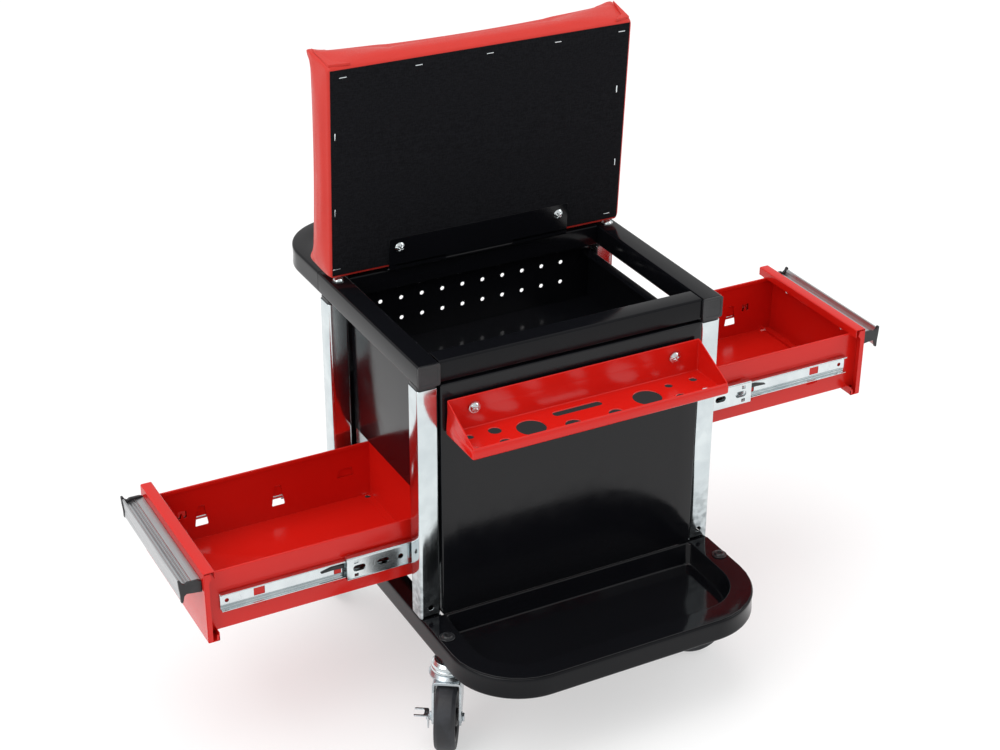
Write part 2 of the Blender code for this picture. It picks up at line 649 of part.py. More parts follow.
def add_drawer(drawer, turn, plate_low, opening):
    """A drawer that opens along its own +X, with its pull and both slides, standing open."""
    at_centre = (0.0, MIDDLE_Y, 0.0)
    fixed = empty(drawer + "_bay", at_centre, (0, 0, turn))
    middle = empty(drawer + "_middle", (opening / 2, 0, 0), parent=fixed)
    moving = empty(drawer + "_drawer", (opening, 0, 0), parent=fixed)
    inner = SIDE_FACE + GAP
    half = DRAWER_WIDTH / 2
    plate_high = plate_low + DRAWER_HEIGHT
    add_plate(drawer, moving, (inner, -half, plate_low), (inner + DRAWER_THICK, half, plate_high))
    box_low = plate_low + BOX_RAISE
    low = (inner - DRAWER_LENGTH, -BOX_WIDTH / 2, box_low)
    high = (inner - GAP, BOX_WIDTH / 2, box_low + BOX_HEIGHT)
    tray = pan("drawer_tray_" + drawer, low, high, [(2, 1), (0, 1)], THIN_SHEET, red_paint, moving)
    boolean(tray, tool("drawer_openings_" + drawer, wall_openings(inner, box_low), parent=moving))
    add_pull(drawer, moving, inner + DRAWER_THICK + GAP, plate_low + DRAWER_HEIGHT - PULL_DROP)
    for label, side in (("a", -1), ("b", 1)):
        add_slide(drawer, label, side, box_low + SLIDE_RAISE, fixed, middle, moving)


def add_plate(drawer, moving, low, high):
    """The drawer's front: a sheet folded back on all four sides, with an edge folded in again."""
    name = "drawer_front_" + drawer
    bm = block(low, high)
    back = faces_towards(bm, 0, -1)
    bmesh.ops.inset_region(bm, faces=back, thickness=DRAWER_FOLD, use_even_offset=True)
    bmesh.ops.delete(bm, geom=back, context="FACES")
    mesh = bpy.data.meshes.new(name)
    bm.to_mesh(mesh)
    bm.free()
    thicken(add_part(name, mesh, red_paint, moving), THIN_SHEET)


def wall_openings(plate, box_low):
    """Cutters through both side walls of the box, where the slides hook in."""
    openings = (                 # centre behind the plate, centre above the box's floor, width, height
        (0.0271, 0.0367, 0.010, 0.0094), (0.0489, 0.0299, 0.0155, 0.0258),
        (0.1400, 0.0299, 0.0155, 0.0258), (0.2200, 0.0367, 0.010, 0.0094))
    bm = bmesh.new()
    reach = BOX_WIDTH / 2 + 0.002
    for behind, above, width, height in openings:
        x, z = plate - behind, box_low + above
        made = bmesh.ops.create_cube(bm, size=1.0)["verts"]
        bmesh.ops.scale(bm, vec=(width, 2 * reach, height), verts=made)
        bmesh.ops.translate(bm, vec=(x, 0, z), verts=made)
    return bm


def add_pull(drawer, moving, face, centre_z):
    """An extruded pull along the plate with a plastic cap on each end."""
    bar = PULL_HALF - PULL_CAP - GAP
    add_part("pull_" + drawer, extruded("pull", PULL_OUTLINE, bar), aluminium, moving, (face, 0, centre_z))
    cap_outline = [(x * 1.03, z * 1.10) for x, z in PULL_OUTLINE]
    for label, side in (("a", -1), ("b", 1)):
        y = side * (PULL_HALF - PULL_CAP / 2)
        cap = extruded("pull_cap", cap_outline, PULL_CAP / 2)
        add_part("pull_cap_" + drawer + "_" + label, cap, black_plastic, moving, (face, y, centre_z))


def add_slide_brackets():
    """Two strips across the posts' inner faces, which carry the outer slide members."""
    lower = BASE_TOP + LOWER_DRAWER_RAISE + BOX_RAISE + SLIDE_RAISE
    low, high = lower - OUTER_HALF - BRACKET_MARGIN, lower + DRAWER_PITCH + OUTER_HALF + BRACKET_MARGIN
    half = HALF - BRACKET_MARGIN
    for label, y in (("front", FRONT + POST + GAP), ("rear", REAR - POST - GAP - THIN_SHEET)):
        name = "slide_bracket_" + label
        bm = block((-half, y, low), (half, y + THIN_SHEET, high))
        add_part(name, mesh_from(bm, name), zinc)


# ---------------------------------------------------------------- seat and hinge
def add_seat():
    """The seat is modelled shut, lying towards -Y from the hinge, and hangs from a turned empty."""
    lid = empty("seat_hinge", (0.0, HINGE_Y, HINGE_Z), (-LID_ANGLE, 0, 0))
    base = -LID_FACE
    front = -(BOARD_START + BOARD_LENGTH)
    bm = block((-BOARD_HALF, front, base), (BOARD_HALF, -BOARD_START, base + BACKING))
    add_part("seat_backing", mesh_from(bm, "seat_backing"), backing_cloth, lid)
    board_low = base + BACKING + GAP
    bm = block((-BOARD_HALF, front, board_low), (BOARD_HALF, -BOARD_START, board_low + BOARD_THICK))
    add_part("seat_board", mesh_from(bm, "seat_board"), plywood, lid)
    bm = block((-CUSHION_HALF, -CUSHION_END, base + GAP),
               (CUSHION_HALF, -CUSHION_START, base + CUSHION_THICK))
    rounded = [e for e in bm.edges if max(v.co.z for v in e.verts) > base + CUSHION_THICK / 2]
    bmesh.ops.bevel(bm, geom=rounded, offset=CUSHION_CORNER, segments=2, profile=0.5, affect="EDGES")
    cushion = add_part("seat_cushion", mesh_from(bm, "seat_cushion"), vinyl, lid)
    room = POCKET_CLEARANCE
    pocket = block((-BOARD_HALF - room, front - room, base - 0.002),
                   (BOARD_HALF + room, room - BOARD_START, board_low + BOARD_THICK + room))
    boolean(cushion, tool("board_pocket", pocket, parent=lid))
    add_hinge(lid)


def knuckle(bm, start, end):
    return rod(bm, KNUCKLE_RADIUS, (start, 0, 0), (end, 0, 0), 12)


def pin_bore():
    """A cutter a little wider than the pin, through both leaves' knuckles."""
    reach = HINGE_HALF + 0.01
    return rod(bmesh.new(), PIN_RADIUS + PIN_CLEARANCE, (-reach, 0, 0), (reach, 0, 0))


def add_hinge(lid):
    """A butt hinge: one leaf under the seat, one on the rear cross rail, and a pin through both."""
    base = -LID_FACE
    seat_leaf = block((-HINGE_HALF, -0.038, base - GAP - LEAF), (HINGE_HALF, 0.0, base - GAP))
    leaf = add_part("hinge_leaf_seat", mesh_from(seat_leaf, "hinge_leaf_seat"), black_paint, lid)
    notch = KNUCKLE_HALF + GAP
    relief = KNUCKLE_RADIUS + GAP
    boolean(leaf, tool("leaf_notch", block((-notch, -relief, -0.02), (notch, 0.02, 0.02)), parent=lid))
    for start, end in ((-HINGE_HALF, -notch), (notch, HINGE_HALF)):
        boolean(leaf, tool("leaf_knuckle", knuckle(bmesh.new(), start, end), parent=lid), "UNION")
    boolean(leaf, tool("leaf_bore", pin_bore(), parent=lid))

    fixed = empty("hinge_frame", (0.0, HINGE_Y, HINGE_Z))
    low = RAIL_TOP + GAP - HINGE_Z
    frame_leaf = block((-HINGE_HALF, 0.0, low), (HINGE_HALF, HINGE_FORWARD + 0.018, low + LEAF))
    leaf = add_part("hinge_leaf_frame", mesh_from(frame_leaf, "hinge_leaf_frame"), black_paint, fixed)
    for start, end in ((-HINGE_HALF - 0.01, -KNUCKLE_HALF), (KNUCKLE_HALF, HINGE_HALF + 0.01)):
        cutter = block((start, -0.02, -0.02), (end, relief, 0.02))
        boolean(leaf, tool("frame_leaf_notch", cutter, parent=fixed))
    middle = knuckle(bmesh.new(), -KNUCKLE_HALF, KNUCKLE_HALF)
    boolean(leaf, tool("frame_knuckle", middle, parent=fixed), "UNION")
    boolean(leaf, tool("frame_bore", pin_bore(), parent=fixed))
    pin = rod(bmesh.new(), PIN_RADIUS, (-HINGE_HALF, 0, 0), (HINGE_HALF, 0, 0))
    add_part("hinge_pin", mesh_from(pin, "hinge_pin"), zinc, fixed)


# ---------------------------------------------------------------- casters
def add_caster(label, x, y, yaw, braked):
    """A swivel caster whose wheel trails along its own +X; its origin is on the swivel axis."""
    swivel = empty("caster_" + label, (x, y, 0.0), (0, 0, math.radians(yaw)))
    axle = (TRAIL, 0.0, WHEEL_RADIUS)
    add_fork(label, swivel)
    add_wheel(label, swivel, axle)
    if braked:
        add_brake_lever(label, swivel, axle)


def add_fork(label, swivel):
    """Bearing cup, crown, two tapered arms and the axle bolt, as one piece."""
    top = CASTER_HEIGHT - GAP
    crown_low = 2 * WHEEL_RADIUS + 0.0015
    bearing = crown_low + FORK_STEEL
    profile = [
        (0.004, top), (CUP_RADIUS - 0.003, top), (CUP_RADIUS, top - 0.003), (CUP_RADIUS, bearing + 0.0055),
        (CROWN_RADIUS, bearing + 0.0045), (CROWN_RADIUS, crown_low + 0.0005), (0.004, crown_low + 0.0005)]
    fork = turned("caster_fork_" + label, profile, 20, zinc, swivel)
    half = FORK_GAP / 2 + FORK_STEEL
    arms = block((-0.012, -half, WHEEL_RADIUS - 0.008), (TRAIL + 0.009, half, bearing))
    for vertex in arms.verts:
        if vertex.co.z < 2 * WHEEL_RADIUS * 0.8:
            vertex.co.x = TRAIL + math.copysign(0.008, vertex.co.x - TRAIL + 0.015)
    boolean(fork, tool("fork_arms_" + label, arms, parent=swivel), "UNION")
    slot = block((-0.05, -FORK_GAP / 2, -0.01), (0.08, FORK_GAP / 2, crown_low))
    boolean(fork, tool("fork_slot_" + label, slot, parent=swivel))
    ends = half + 0.003
    bolt = rod(bmesh.new(), AXLE_RADIUS, (TRAIL, -ends, WHEEL_RADIUS), (TRAIL, ends, WHEEL_RADIUS))
    boolean(fork, tool("fork_axle_" + label, bolt, parent=swivel), "UNION")


def add_wheel(label, swivel, axle):
    """A rubber wheel with a rounded tread, dished sides and a plain bore."""
    tread, hub = WHEEL_WIDTH / 2, HUB_WIDTH / 2
    bore = AXLE_RADIUS + AXLE_CLEARANCE
    upper = [(bore, hub), (0.010, hub), (0.012, tread - 0.002), (0.027, tread - 0.002), (0.030, tread),
             (WHEEL_RADIUS - 0.004, tread), (WHEEL_RADIUS, tread - 0.004)]
    profile = upper + [(radius, -height) for radius, height in reversed(upper)]
    turned("caster_wheel_" + label, profile, 24, rubber, swivel, axle, "Y")


def add_brake_lever(label, swivel, axle):
    """A pressed lever beside the fork with a foot tab, which swings about the axle's line."""
    near = -(FORK_GAP / 2 + FORK_STEEL + LEVER_CLEARANCE)
    lever = block((-LEVER_HALF, near - LEVER_STEEL, -LEVER_DROP), (LEVER_HALF, near, LEVER_RISE))
    part = add_part("brake_lever_" + label, mesh_from(lever, "brake_lever"), zinc, swivel, axle)
    tab = block((-TAB_HALF, near - LEVER_REACH, LEVER_RISE - LEVER_STEEL), (TAB_HALF, near, LEVER_RISE))
    boolean(part, tool("lever_tab_" + label, tab, axle, swivel), "UNION")


def add_casters():
    x = HALF - SWIVEL_INSET
    for end, y in (("front", FRONT - FRONT_SWIVEL_REACH), ("rear", REAR - REAR_SWIVEL_INSET)):
        for side, sign in (("left", -1), ("right", 1)):
            label = end + "_" + side
            add_caster(label, sign * x, y, CASTER_YAWS[label], label in BRAKED)


add_top_frame()
add_posts()
add_hoops()
add_front_tray()
add_panels()
add_tool_holder()
lower_plate = BASE_TOP + LOWER_DRAWER_RAISE
add_drawer("lower", math.pi, lower_plate, LOWER_OPENING)
add_drawer("upper", 0.0, lower_plate + DRAWER_PITCH, UPPER_OPENING)
add_slide_brackets()
add_seat()
add_casters()
bpy.context.view_layer.update()
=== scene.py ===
# Rolling workshop seat with two open drawers, its lid standing up on the rear hinge.
import math

import bmesh
import bpy
import numpy as np
from mathutils import Matrix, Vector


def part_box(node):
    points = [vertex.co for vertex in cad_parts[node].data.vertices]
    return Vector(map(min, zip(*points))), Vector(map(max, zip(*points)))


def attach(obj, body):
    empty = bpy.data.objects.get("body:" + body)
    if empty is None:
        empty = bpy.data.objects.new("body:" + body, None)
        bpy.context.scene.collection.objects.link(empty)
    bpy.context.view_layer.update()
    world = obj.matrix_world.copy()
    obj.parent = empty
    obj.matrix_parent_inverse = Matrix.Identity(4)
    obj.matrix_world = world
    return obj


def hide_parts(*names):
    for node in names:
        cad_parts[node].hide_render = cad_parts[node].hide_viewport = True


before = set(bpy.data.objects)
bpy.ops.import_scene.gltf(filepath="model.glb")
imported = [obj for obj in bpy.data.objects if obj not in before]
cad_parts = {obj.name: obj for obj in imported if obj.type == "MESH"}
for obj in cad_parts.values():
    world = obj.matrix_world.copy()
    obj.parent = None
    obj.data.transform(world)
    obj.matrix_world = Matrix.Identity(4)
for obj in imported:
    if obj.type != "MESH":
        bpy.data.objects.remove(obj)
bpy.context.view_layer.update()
scene = bpy.context.scene
scene.view_settings.view_transform = "Standard"
print("frame loaded:", len(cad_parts), "nodes")


# ---- surface nodes
def newFinish(name, colour, roughness, metallic=0.0, **sockets):
    # a Principled material, with each constant on its own socket
    made = bpy.data.materials.new(name)
    made.use_nodes = True
    shader = made.node_tree.nodes["Principled BSDF"]
    shader.inputs["Base Color"].default_value = (*colour, 1.0)
    shader.inputs["Roughness"].default_value = roughness
    shader.inputs["Metallic"].default_value = metallic
    for socket, value in sockets.items():
        shader.inputs[socket.replace("_", " ")].default_value = value
    return made, made.node_tree, shader


def pattern(tree, kind, scale, stretch=(1.0, 1.0, 1.0), output=0, **settings):
    # a texture on Object coordinates: texture(point * stretch * scale)
    where = tree.nodes.new("ShaderNodeTexCoord")
    mapping = tree.nodes.new("ShaderNodeMapping")
    mapping.inputs["Scale"].default_value = stretch
    texture = tree.nodes.new("ShaderNodeTex" + kind)
    for key, value in settings.items():
        if key in texture.inputs:
            texture.inputs[key].default_value = value
        else:
            setattr(texture, key, value)
    texture.inputs["Scale"].default_value = scale
    tree.links.new(where.outputs["Object"], mapping.inputs["Vector"])
    tree.links.new(mapping.outputs["Vector"], texture.inputs["Vector"])
    return texture.outputs[output]


def spread(tree, value, low, high, fromLow=0.3, fromHigh=0.7):
    # low + (high - low) * (value - fromLow) / (fromHigh - fromLow), held inside its ends
    node = tree.nodes.new("ShaderNodeMapRange")
    for socket, number in zip(("From Min", "From Max", "To Min", "To Max"), (fromLow, fromHigh, low, high)):
        node.inputs[socket].default_value = number
    tree.links.new(value, node.inputs["Value"])
    return node.outputs["Result"]


def blendColours(tree, factor, first, second):
    # first * (1 - factor) + second * factor
    node = tree.nodes.new("ShaderNodeMix")
    node.data_type = "RGBA"
    tree.links.new(factor, node.inputs["Factor"])
    for socket, colour in ((node.inputs[6], first), (node.inputs[7], second)):
        if isinstance(colour, tuple):
            socket.default_value = (*colour, 1.0)
        else:
            tree.links.new(colour, socket)
    return node.outputs[2]


def addBump(tree, shader, *layers):
    # each layer is (height, distance, strength), stacked on the one before
    before = None
    for height, distance, strength in layers:
        node = tree.nodes.new("ShaderNodeBump")
        node.inputs["Distance"].default_value = distance
        node.inputs["Strength"].default_value = strength
        tree.links.new(height, node.inputs["Height"])
        if before:
            tree.links.new(before, node.inputs["Normal"])
        before = node.outputs["Normal"]
    tree.links.new(before, shader.inputs["Normal"])


def powderCoat(name, dark, light, roughLow, roughHigh, wobble, gloss):
    # baked paint: faint tone drift, orange peel about 2 mm wide and long soft waves of the sheet under it
    made, tree, shader = newFinish(name, dark, roughLow, Specular_IOR_Level=gloss)
    drift = pattern(tree, "Noise", 9.0, Detail=3.0)
    tree.links.new(blendColours(tree, drift, dark, light), shader.inputs["Base Color"])
    tree.links.new(spread(tree, pattern(tree, "Noise", 55.0, Detail=4.0), roughLow, roughHigh),
                   shader.inputs["Roughness"])
    addBump(tree, shader, (pattern(tree, "Noise", 14.0, Detail=1.0), 0.004, wobble),
            (pattern(tree, "Noise", 420.0, Detail=2.0), 0.0003, 0.07))
    return made


def zincFinish(name, light, dark, roughLow, roughHigh, grain=150.0, foot=None):
    # plated steel: crystal flecks and a cloudy tone, and on the posts a duller mottled foot
    made, tree, shader = newFinish(name, light, roughLow, 1.0)
    flecks = pattern(tree, "Voronoi", grain, output="Color")
    fleckTone = tree.nodes.new("ShaderNodeSeparateColor")
    tree.links.new(flecks, fleckTone.inputs[0])
    clouds = pattern(tree, "Noise", 38.0, Detail=5.0)
    tone = blendColours(tree, spread(tree, clouds, 0.0, 1.0), light, dark)
    fleck = blendColours(tree, spread(tree, fleckTone.outputs[0], 0.0, 0.35, 0.2, 1.0), tone, dark)
    if foot:
        where = tree.nodes.new("ShaderNodeTexCoord")
        parts = tree.nodes.new("ShaderNodeSeparateXYZ")
        tree.links.new(where.outputs["Object"], parts.inputs[0])
        down = spread(tree, parts.outputs["Z"], 1.0, 0.0, foot[0], foot[1])
        patches = pattern(tree, "Noise", 120.0, Detail=6.0)
        mottled = blendColours(tree, spread(tree, patches, 0.0, 1.0, 0.4, 0.62), foot[2], foot[3])
        mask = tree.nodes.new("ShaderNodeMath")
        mask.operation = "MULTIPLY"
        tree.links.new(down, mask.inputs[0])
        mask.inputs[1].default_value = 0.8
        fleck = blendColours(tree, mask.outputs[0], fleck, mottled)
    tree.links.new(fleck, shader.inputs["Base Color"])
    tree.links.new(spread(tree, clouds, roughLow, roughHigh), shader.inputs["Roughness"])
    addBump(tree, shader, (fleckTone.outputs[0], 0.0002, 0.06), (clouds, 0.0006, 0.10))
    return made


def aluminiumFinish():
    # drawn aluminium: hair lines along Y, a hundred times longer than they are wide
    made, tree, shader = newFinish("brushedAluminium", (0.50, 0.51, 0.52), 0.3, 1.0)
    hairs = pattern(tree, "Noise", 30.0, (60.0, 0.6, 60.0), Detail=6.0)
    tone = blendColours(tree, spread(tree, hairs, 0.0, 1.0), (0.56, 0.57, 0.58), (0.42, 0.43, 0.44))
    tree.links.new(tone, shader.inputs["Base Color"])
    tree.links.new(spread(tree, hairs, 0.24, 0.42), shader.inputs["Roughness"])
    addBump(tree, shader, (hairs, 0.0003, 0.12))
    return made


def plasticFinish(name, colour, roughness, grain, depth):
    # moulded plastic or rubber: fine erosion grain and a cloudy dust tone
    made, tree, shader = newFinish(name, colour, roughness)
    dust = pattern(tree, "Noise", 70.0, Detail=6.0)
    lighter = tuple(channel * 2.1 + 0.004 for channel in colour)
    tree.links.new(blendColours(tree, spread(tree, dust, 0.0, 1.0, 0.42, 0.68), colour, lighter),
                   shader.inputs["Base Color"])
    tree.links.new(spread(tree, dust, roughness - 0.08, roughness + 0.1), shader.inputs["Roughness"])
    addBump(tree, shader, (pattern(tree, "Noise", grain, Detail=3.0), depth, 0.3))
    return made


def vinylFinish():
    # leathercloth: pebble cells about 1 mm across with creases between them, and a soft sheen
    made, tree, shader = newFinish("redVinyl", (0.60, 0.022, 0.012), 0.42, Sheen_Weight=0.06,
                                   Sheen_Roughness=0.4, Specular_IOR_Level=0.42)
    shader.inputs["Sheen Tint"].default_value = (1.0, 0.75, 0.72, 1.0)
    pebbles = pattern(tree, "Voronoi", 850.0, feature="DISTANCE_TO_EDGE")
    drift = pattern(tree, "Noise", 22.0, Detail=3.0)
    tree.links.new(blendColours(tree, drift, (0.62, 0.024, 0.013), (0.54, 0.018, 0.010)),
                   shader.inputs["Base Color"])
    tree.links.new(spread(tree, pebbles, 0.52, 0.36, 0.0, 0.3), shader.inputs["Roughness"])
    addBump(tree, shader, (spread(tree, pebbles, 0.0, 1.0, 0.0, 0.25), 0.0002, 0.35),
            (pattern(tree, "Noise", 60.0, Detail=2.0), 0.001, 0.12))
    return made


def clothFinish():
    # non-woven dust cover: short crossed fibres in two directions over small pressed points
    made, tree, shader = newFinish("backingCloth", (0.006, 0.0063, 0.0078), 0.95, Specular_IOR_Level=0.12,
                                   Sheen_Weight=0.01, Sheen_Roughness=0.6)
    across = pattern(tree, "Noise", 300.0, (3.0, 0.5, 1.0), Detail=4.0)
    along = pattern(tree, "Noise", 300.0, (0.5, 0.5, 3.0), Detail=4.0)
    points = pattern(tree, "Voronoi", 420.0, feature="F1")
    fibres = tree.nodes.new("ShaderNodeMath")
    fibres.operation = "ADD"
    tree.links.new(across, fibres.inputs[0])
    tree.links.new(along, fibres.inputs[1])
    thick = spread(tree, fibres.outputs[0], 0.0, 1.0, 0.8, 1.2)
    tree.links.new(blendColours(tree, thick, (0.0035, 0.0037, 0.0050), (0.0080, 0.0084, 0.0105)),
                   shader.inputs["Base Color"])
    addBump(tree, shader, (fibres.outputs[0], 0.0004, 0.35), (points, 0.0003, 0.25))
    return made


def plywoodFinish():
    # birch board: long grain along X and darker glue lines through its thickness
    made, tree, shader = newFinish("plywood", (0.55, 0.38, 0.22), 0.65)
    grain = pattern(tree, "Noise", 14.0, (1.0, 14.0, 14.0), Detail=6.0)
    plies = pattern(tree, "Wave", 95.0, (0.0, 1.0, 0.0), Distortion=0.6)
    tone = blendColours(tree, spread(tree, grain, 0.0, 1.0), (0.60, 0.43, 0.26), (0.42, 0.27, 0.14))
    tree.links.new(blendColours(tree, spread(tree, plies, 0.0, 0.5, 0.6, 1.0), tone, (0.25, 0.15, 0.08)),
                   shader.inputs["Base Color"])
    addBump(tree, shader, (grain, 0.0005, 0.2))
    return made


blacks = (0.0035, 0.0037, 0.0048), (0.0050, 0.0053, 0.0068)
finishes = {
    "black": powderCoat("blackPowderCoat", *blacks, 0.10, 0.17, 0.03, 0.30),
    "hoop": powderCoat("blackHoopCoat", *blacks, 0.12, 0.20, 0.03, 0.16),
    "tray": powderCoat("blackTrayCoat", *blacks, 0.06, 0.12, 0.20, 0.28),
    "red": powderCoat("redPowderCoat", (0.66, 0.011, 0.006), (0.60, 0.010, 0.006), 0.17, 0.25, 0.02, 0.38),
    "zinc": zincFinish("brightZinc", (0.74, 0.79, 0.80), (0.62, 0.67, 0.69), 0.14, 0.24),
    "post": zincFinish("postZinc", (0.70, 0.76, 0.77), (0.56, 0.62, 0.64), 0.10, 0.17, 90.0,
                       (0.140, 0.205, (0.15, 0.17, 0.18), (0.50, 0.55, 0.57))),
    "fork": zincFinish("forkZinc", (0.66, 0.70, 0.72), (0.44, 0.49, 0.52), 0.18, 0.32, 260.0),
    "aluminium": aluminiumFinish(),
    "plastic": plasticFinish("blackPlastic", (0.008, 0.0085, 0.0100), 0.36, 900.0, 0.0002),
    "hub": plasticFinish("wheelPlastic", (0.010, 0.010, 0.012), 0.38, 700.0, 0.0002),
    "rubber": plasticFinish("tyreRubber", (0.010, 0.011, 0.014), 0.55, 380.0, 0.0008),
    "vinyl": vinylFinish(),
    "cloth": clothFinish(),
    "plywood": plywoodFinish(),
}
print("finishes made:", len(finishes))


# ---- shapes as arrays; a shape is (points, faces)
sharpFrom, easedFrom = 38.0, 50.0   # degrees between faces


def unit(vectors):
    # vector / its length
    return vectors / np.maximum(np.linalg.norm(vectors, axis=-1, keepdims=True), 1e-12)


def box(node):
    low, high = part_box(node)
    return np.array(low), np.array(high)


def bendLine(corners, radius, steps=4, closed=False):
    # each corner becomes an arc of the radius, tangent to both legs: centre + slerp(start, end)
    corners = np.asarray(corners, float)
    pieces = []
    for i, corner in enumerate(corners):
        if not closed and i in (0, len(corners) - 1):
            pieces.append(corner[None])
            continue
        back, on = corners[i - 1] - corner, corners[(i + 1) % len(corners)] - corner
        lengths = np.linalg.norm(back), np.linalg.norm(on)
        back, on = back / lengths[0], on / lengths[1]
        half = math.acos(np.clip(back @ on, -1, 1)) / 2
        cut = min(radius / math.tan(half), 0.49 * min(lengths))
        centre = corner + unit(back + on) * cut / math.cos(half)
        start, end = corner + back * cut - centre, corner + on * cut - centre
        turn = math.pi - 2 * half
        t = np.linspace(0, 1, steps + 1)[:, None]
        pieces.append(centre + (np.sin((1 - t) * turn) * start + np.sin(t * turn) * end) / math.sin(turn))
    return np.vstack(pieces)


def mitre(line, closed=False):
    # left normals, lengthened at a corner by 1 / cos(half its turn)
    steps = np.diff(np.vstack([line, line[:1]]) if closed else line, axis=0)
    if closed:
        before, after = unit(np.roll(steps, 1, 0)), unit(steps)
    else:
        before, after = unit(np.vstack([steps[:1], steps])), unit(np.vstack([steps, steps[-1:]]))
    left = np.stack([-(before + after)[:, 1], (before + after)[:, 0]], -1)
    left = unit(left)
    own = np.stack([-after[:, 1], after[:, 0]], -1)
    return left / np.maximum((left * own).sum(-1, keepdims=True), 0.3)


def gridFaces(rows, columns, closed=False):
    # quads between ring i and ring i + 1, all the way round each ring
    i = np.arange(rows if closed else rows - 1)[:, None]
    j = np.arange(columns)[None]
    here, there, beside = i * columns, (i + 1) % rows * columns, (j + 1) % columns
    return np.stack([here + j, here + beside, there + beside, there + j], -1).reshape(-1, 4).tolist()


def loft(rings, closed=False):
    # a skin over rings of equal count, its ends filled, or joined end to start when closed
    rings = np.asarray(rings, float)
    rows, columns = rings.shape[:2]
    faces = gridFaces(rows, columns, closed)
    if not closed:
        faces += [list(range(columns))[::-1], list(range((rows - 1) * columns, rows * columns))]
    return rings.reshape(-1, 3), faces


def extrude(outline, axis, stations):
    # the flat outline repeated at each station along one axis
    others = [i for i in range(3) if i != axis]
    rings = np.zeros((len(stations), len(outline), 3))
    rings[:, :, others] = np.asarray(outline)[None]
    rings[:, :, axis] = np.asarray(stations, float)[:, None]
    return loft(rings)


def foldedSheet(corners, thickness, axis, start, end, radius=0.0016, steps=4):
    # a folded line and its mitred offset by the thickness, carried from start to end
    line = bendLine(corners, radius, steps)
    return extrude(np.vstack([line, (line + mitre(line) * thickness)[::-1]]), axis, (start, end))


def roundedBox(half, corner, steps=4):
    # a rectangle's outline with round corners, counter-clockwise
    halfX, halfY = half
    corners = [(halfX, halfY), (-halfX, halfY), (-halfX, -halfY), (halfX, -halfY)]
    return bendLine(corners, corner, steps, True)


def slab(low, high, corner, axis, steps=4):
    # a plate with round corners, seen along its thin axis
    low, high = np.asarray(low, float), np.asarray(high, float)
    others = [i for i in range(3) if i != axis]
    outline = roundedBox((high - low)[others] / 2, corner, steps) + ((high + low) / 2)[others]
    return extrude(outline, axis, (low[axis], high[axis]))


def boxTube(low, high, axis, corner, wall):
    # an open square tube: outer rings, then inner rings, joined at both ends
    others = [i for i in range(3) if i != axis]
    middle, half = ((high + low) / 2)[others], ((high - low) / 2)[others]
    outer = roundedBox(half, corner) + middle
    inner = roundedBox(half - wall, max(corner - wall, 0.0005)) + middle
    rings = np.zeros((4, len(outer), 3))
    rings[:2, :, others], rings[2:, :, others] = outer, inner
    rings[:, :, axis] = np.array([low[axis], high[axis], high[axis], low[axis]])[:, None]
    return loft(rings, True)


def turned(profile, steps=40, closed=False):
    # (radius cos a, radius sin a, height) for each profile point
    profile = np.asarray(profile, float)
    angle = np.linspace(0, 2 * math.pi, steps, endpoint=False)
    rings = np.stack([profile[:, :1] * np.cos(angle), profile[:, :1] * np.sin(angle),
                      np.repeat(profile[:, 1:2], steps, 1)], -1)
    return loft(rings, closed)


def facing(shape, place, way, spin=0.0):
    # the shape's own +Z turned towards a direction, then moved to its place
    up = unit(np.asarray(way, float))
    side = unit(np.cross(up, (0.0, 0.0, 1.0) if abs(up[2]) < 0.9 else (0.0, 1.0, 0.0)))
    ahead = np.cross(up, side)
    first = side * math.cos(spin) + ahead * math.sin(spin)
    points = shape[0] @ np.stack([first, np.cross(up, first), up])
    return points + np.asarray(place, float), shape[1]


def rod(radius, start, end, steps=28):
    # a round bar between two points
    start, end = np.asarray(start, float), np.asarray(end, float)
    length = np.linalg.norm(end - start)
    return facing(turned([(radius, 0.0), (radius, length)], steps), start, end - start)


def moved(shape, by):
    # the same faces with a rule applied to the points
    return by(shape[0]), shape[1]


def outward(shape):
    # faces turned round when the signed volume is below nothing
    mesh = bpy.data.meshes.new("probe")
    mesh.from_pydata(shape[0].tolist(), [], shape[1])
    probe = bmesh.new()
    probe.from_mesh(mesh)
    volume = probe.calc_volume(signed=True)
    probe.free()
    bpy.data.meshes.remove(mesh)
    return shape if volume >= 0 else (shape[0], [face[::-1] for face in shape[1]])


def joined(shapes):
    # several closed shapes as one list of points and faces
    points, faces, start = [], [], 0
    for shape in map(outward, shapes):
        points.append(shape[0])
        faces += [[start + corner for corner in face] for face in shape[1]]
        start += len(shape[0])
    return np.vstack(points), faces


def rawObject(name, shape):
    mesh = bpy.data.meshes.new(name)
    mesh.from_pydata(shape[0].tolist(), [], shape[1])
    made = bpy.data.objects.new(name, mesh)
    scene.collection.objects.link(made)
    return made


def carve(shape, cutters, operation="DIFFERENCE"):
    # the first shape less (or meeting) the second, as arrays again
    body, knife = rawObject("body", outward(shape)), rawObject("knife", joined(cutters))
    step = body.modifiers.new("carve", "BOOLEAN")
    step.operation, step.solver, step.object = operation, "EXACT", knife
    bpy.context.view_layer.update()
    done = bpy.data.meshes.new_from_object(body.evaluated_get(bpy.context.evaluated_depsgraph_get()))
    points = np.zeros(len(done.vertices) * 3)
    done.vertices.foreach_get("co", points)
    faces = [list(face.vertices) for face in done.polygons]
    for left in (body, knife):
        mesh = left.data
        bpy.data.objects.remove(left)
        bpy.data.meshes.remove(mesh)
    bpy.data.meshes.remove(done)
    return points.reshape(-1, 3), faces


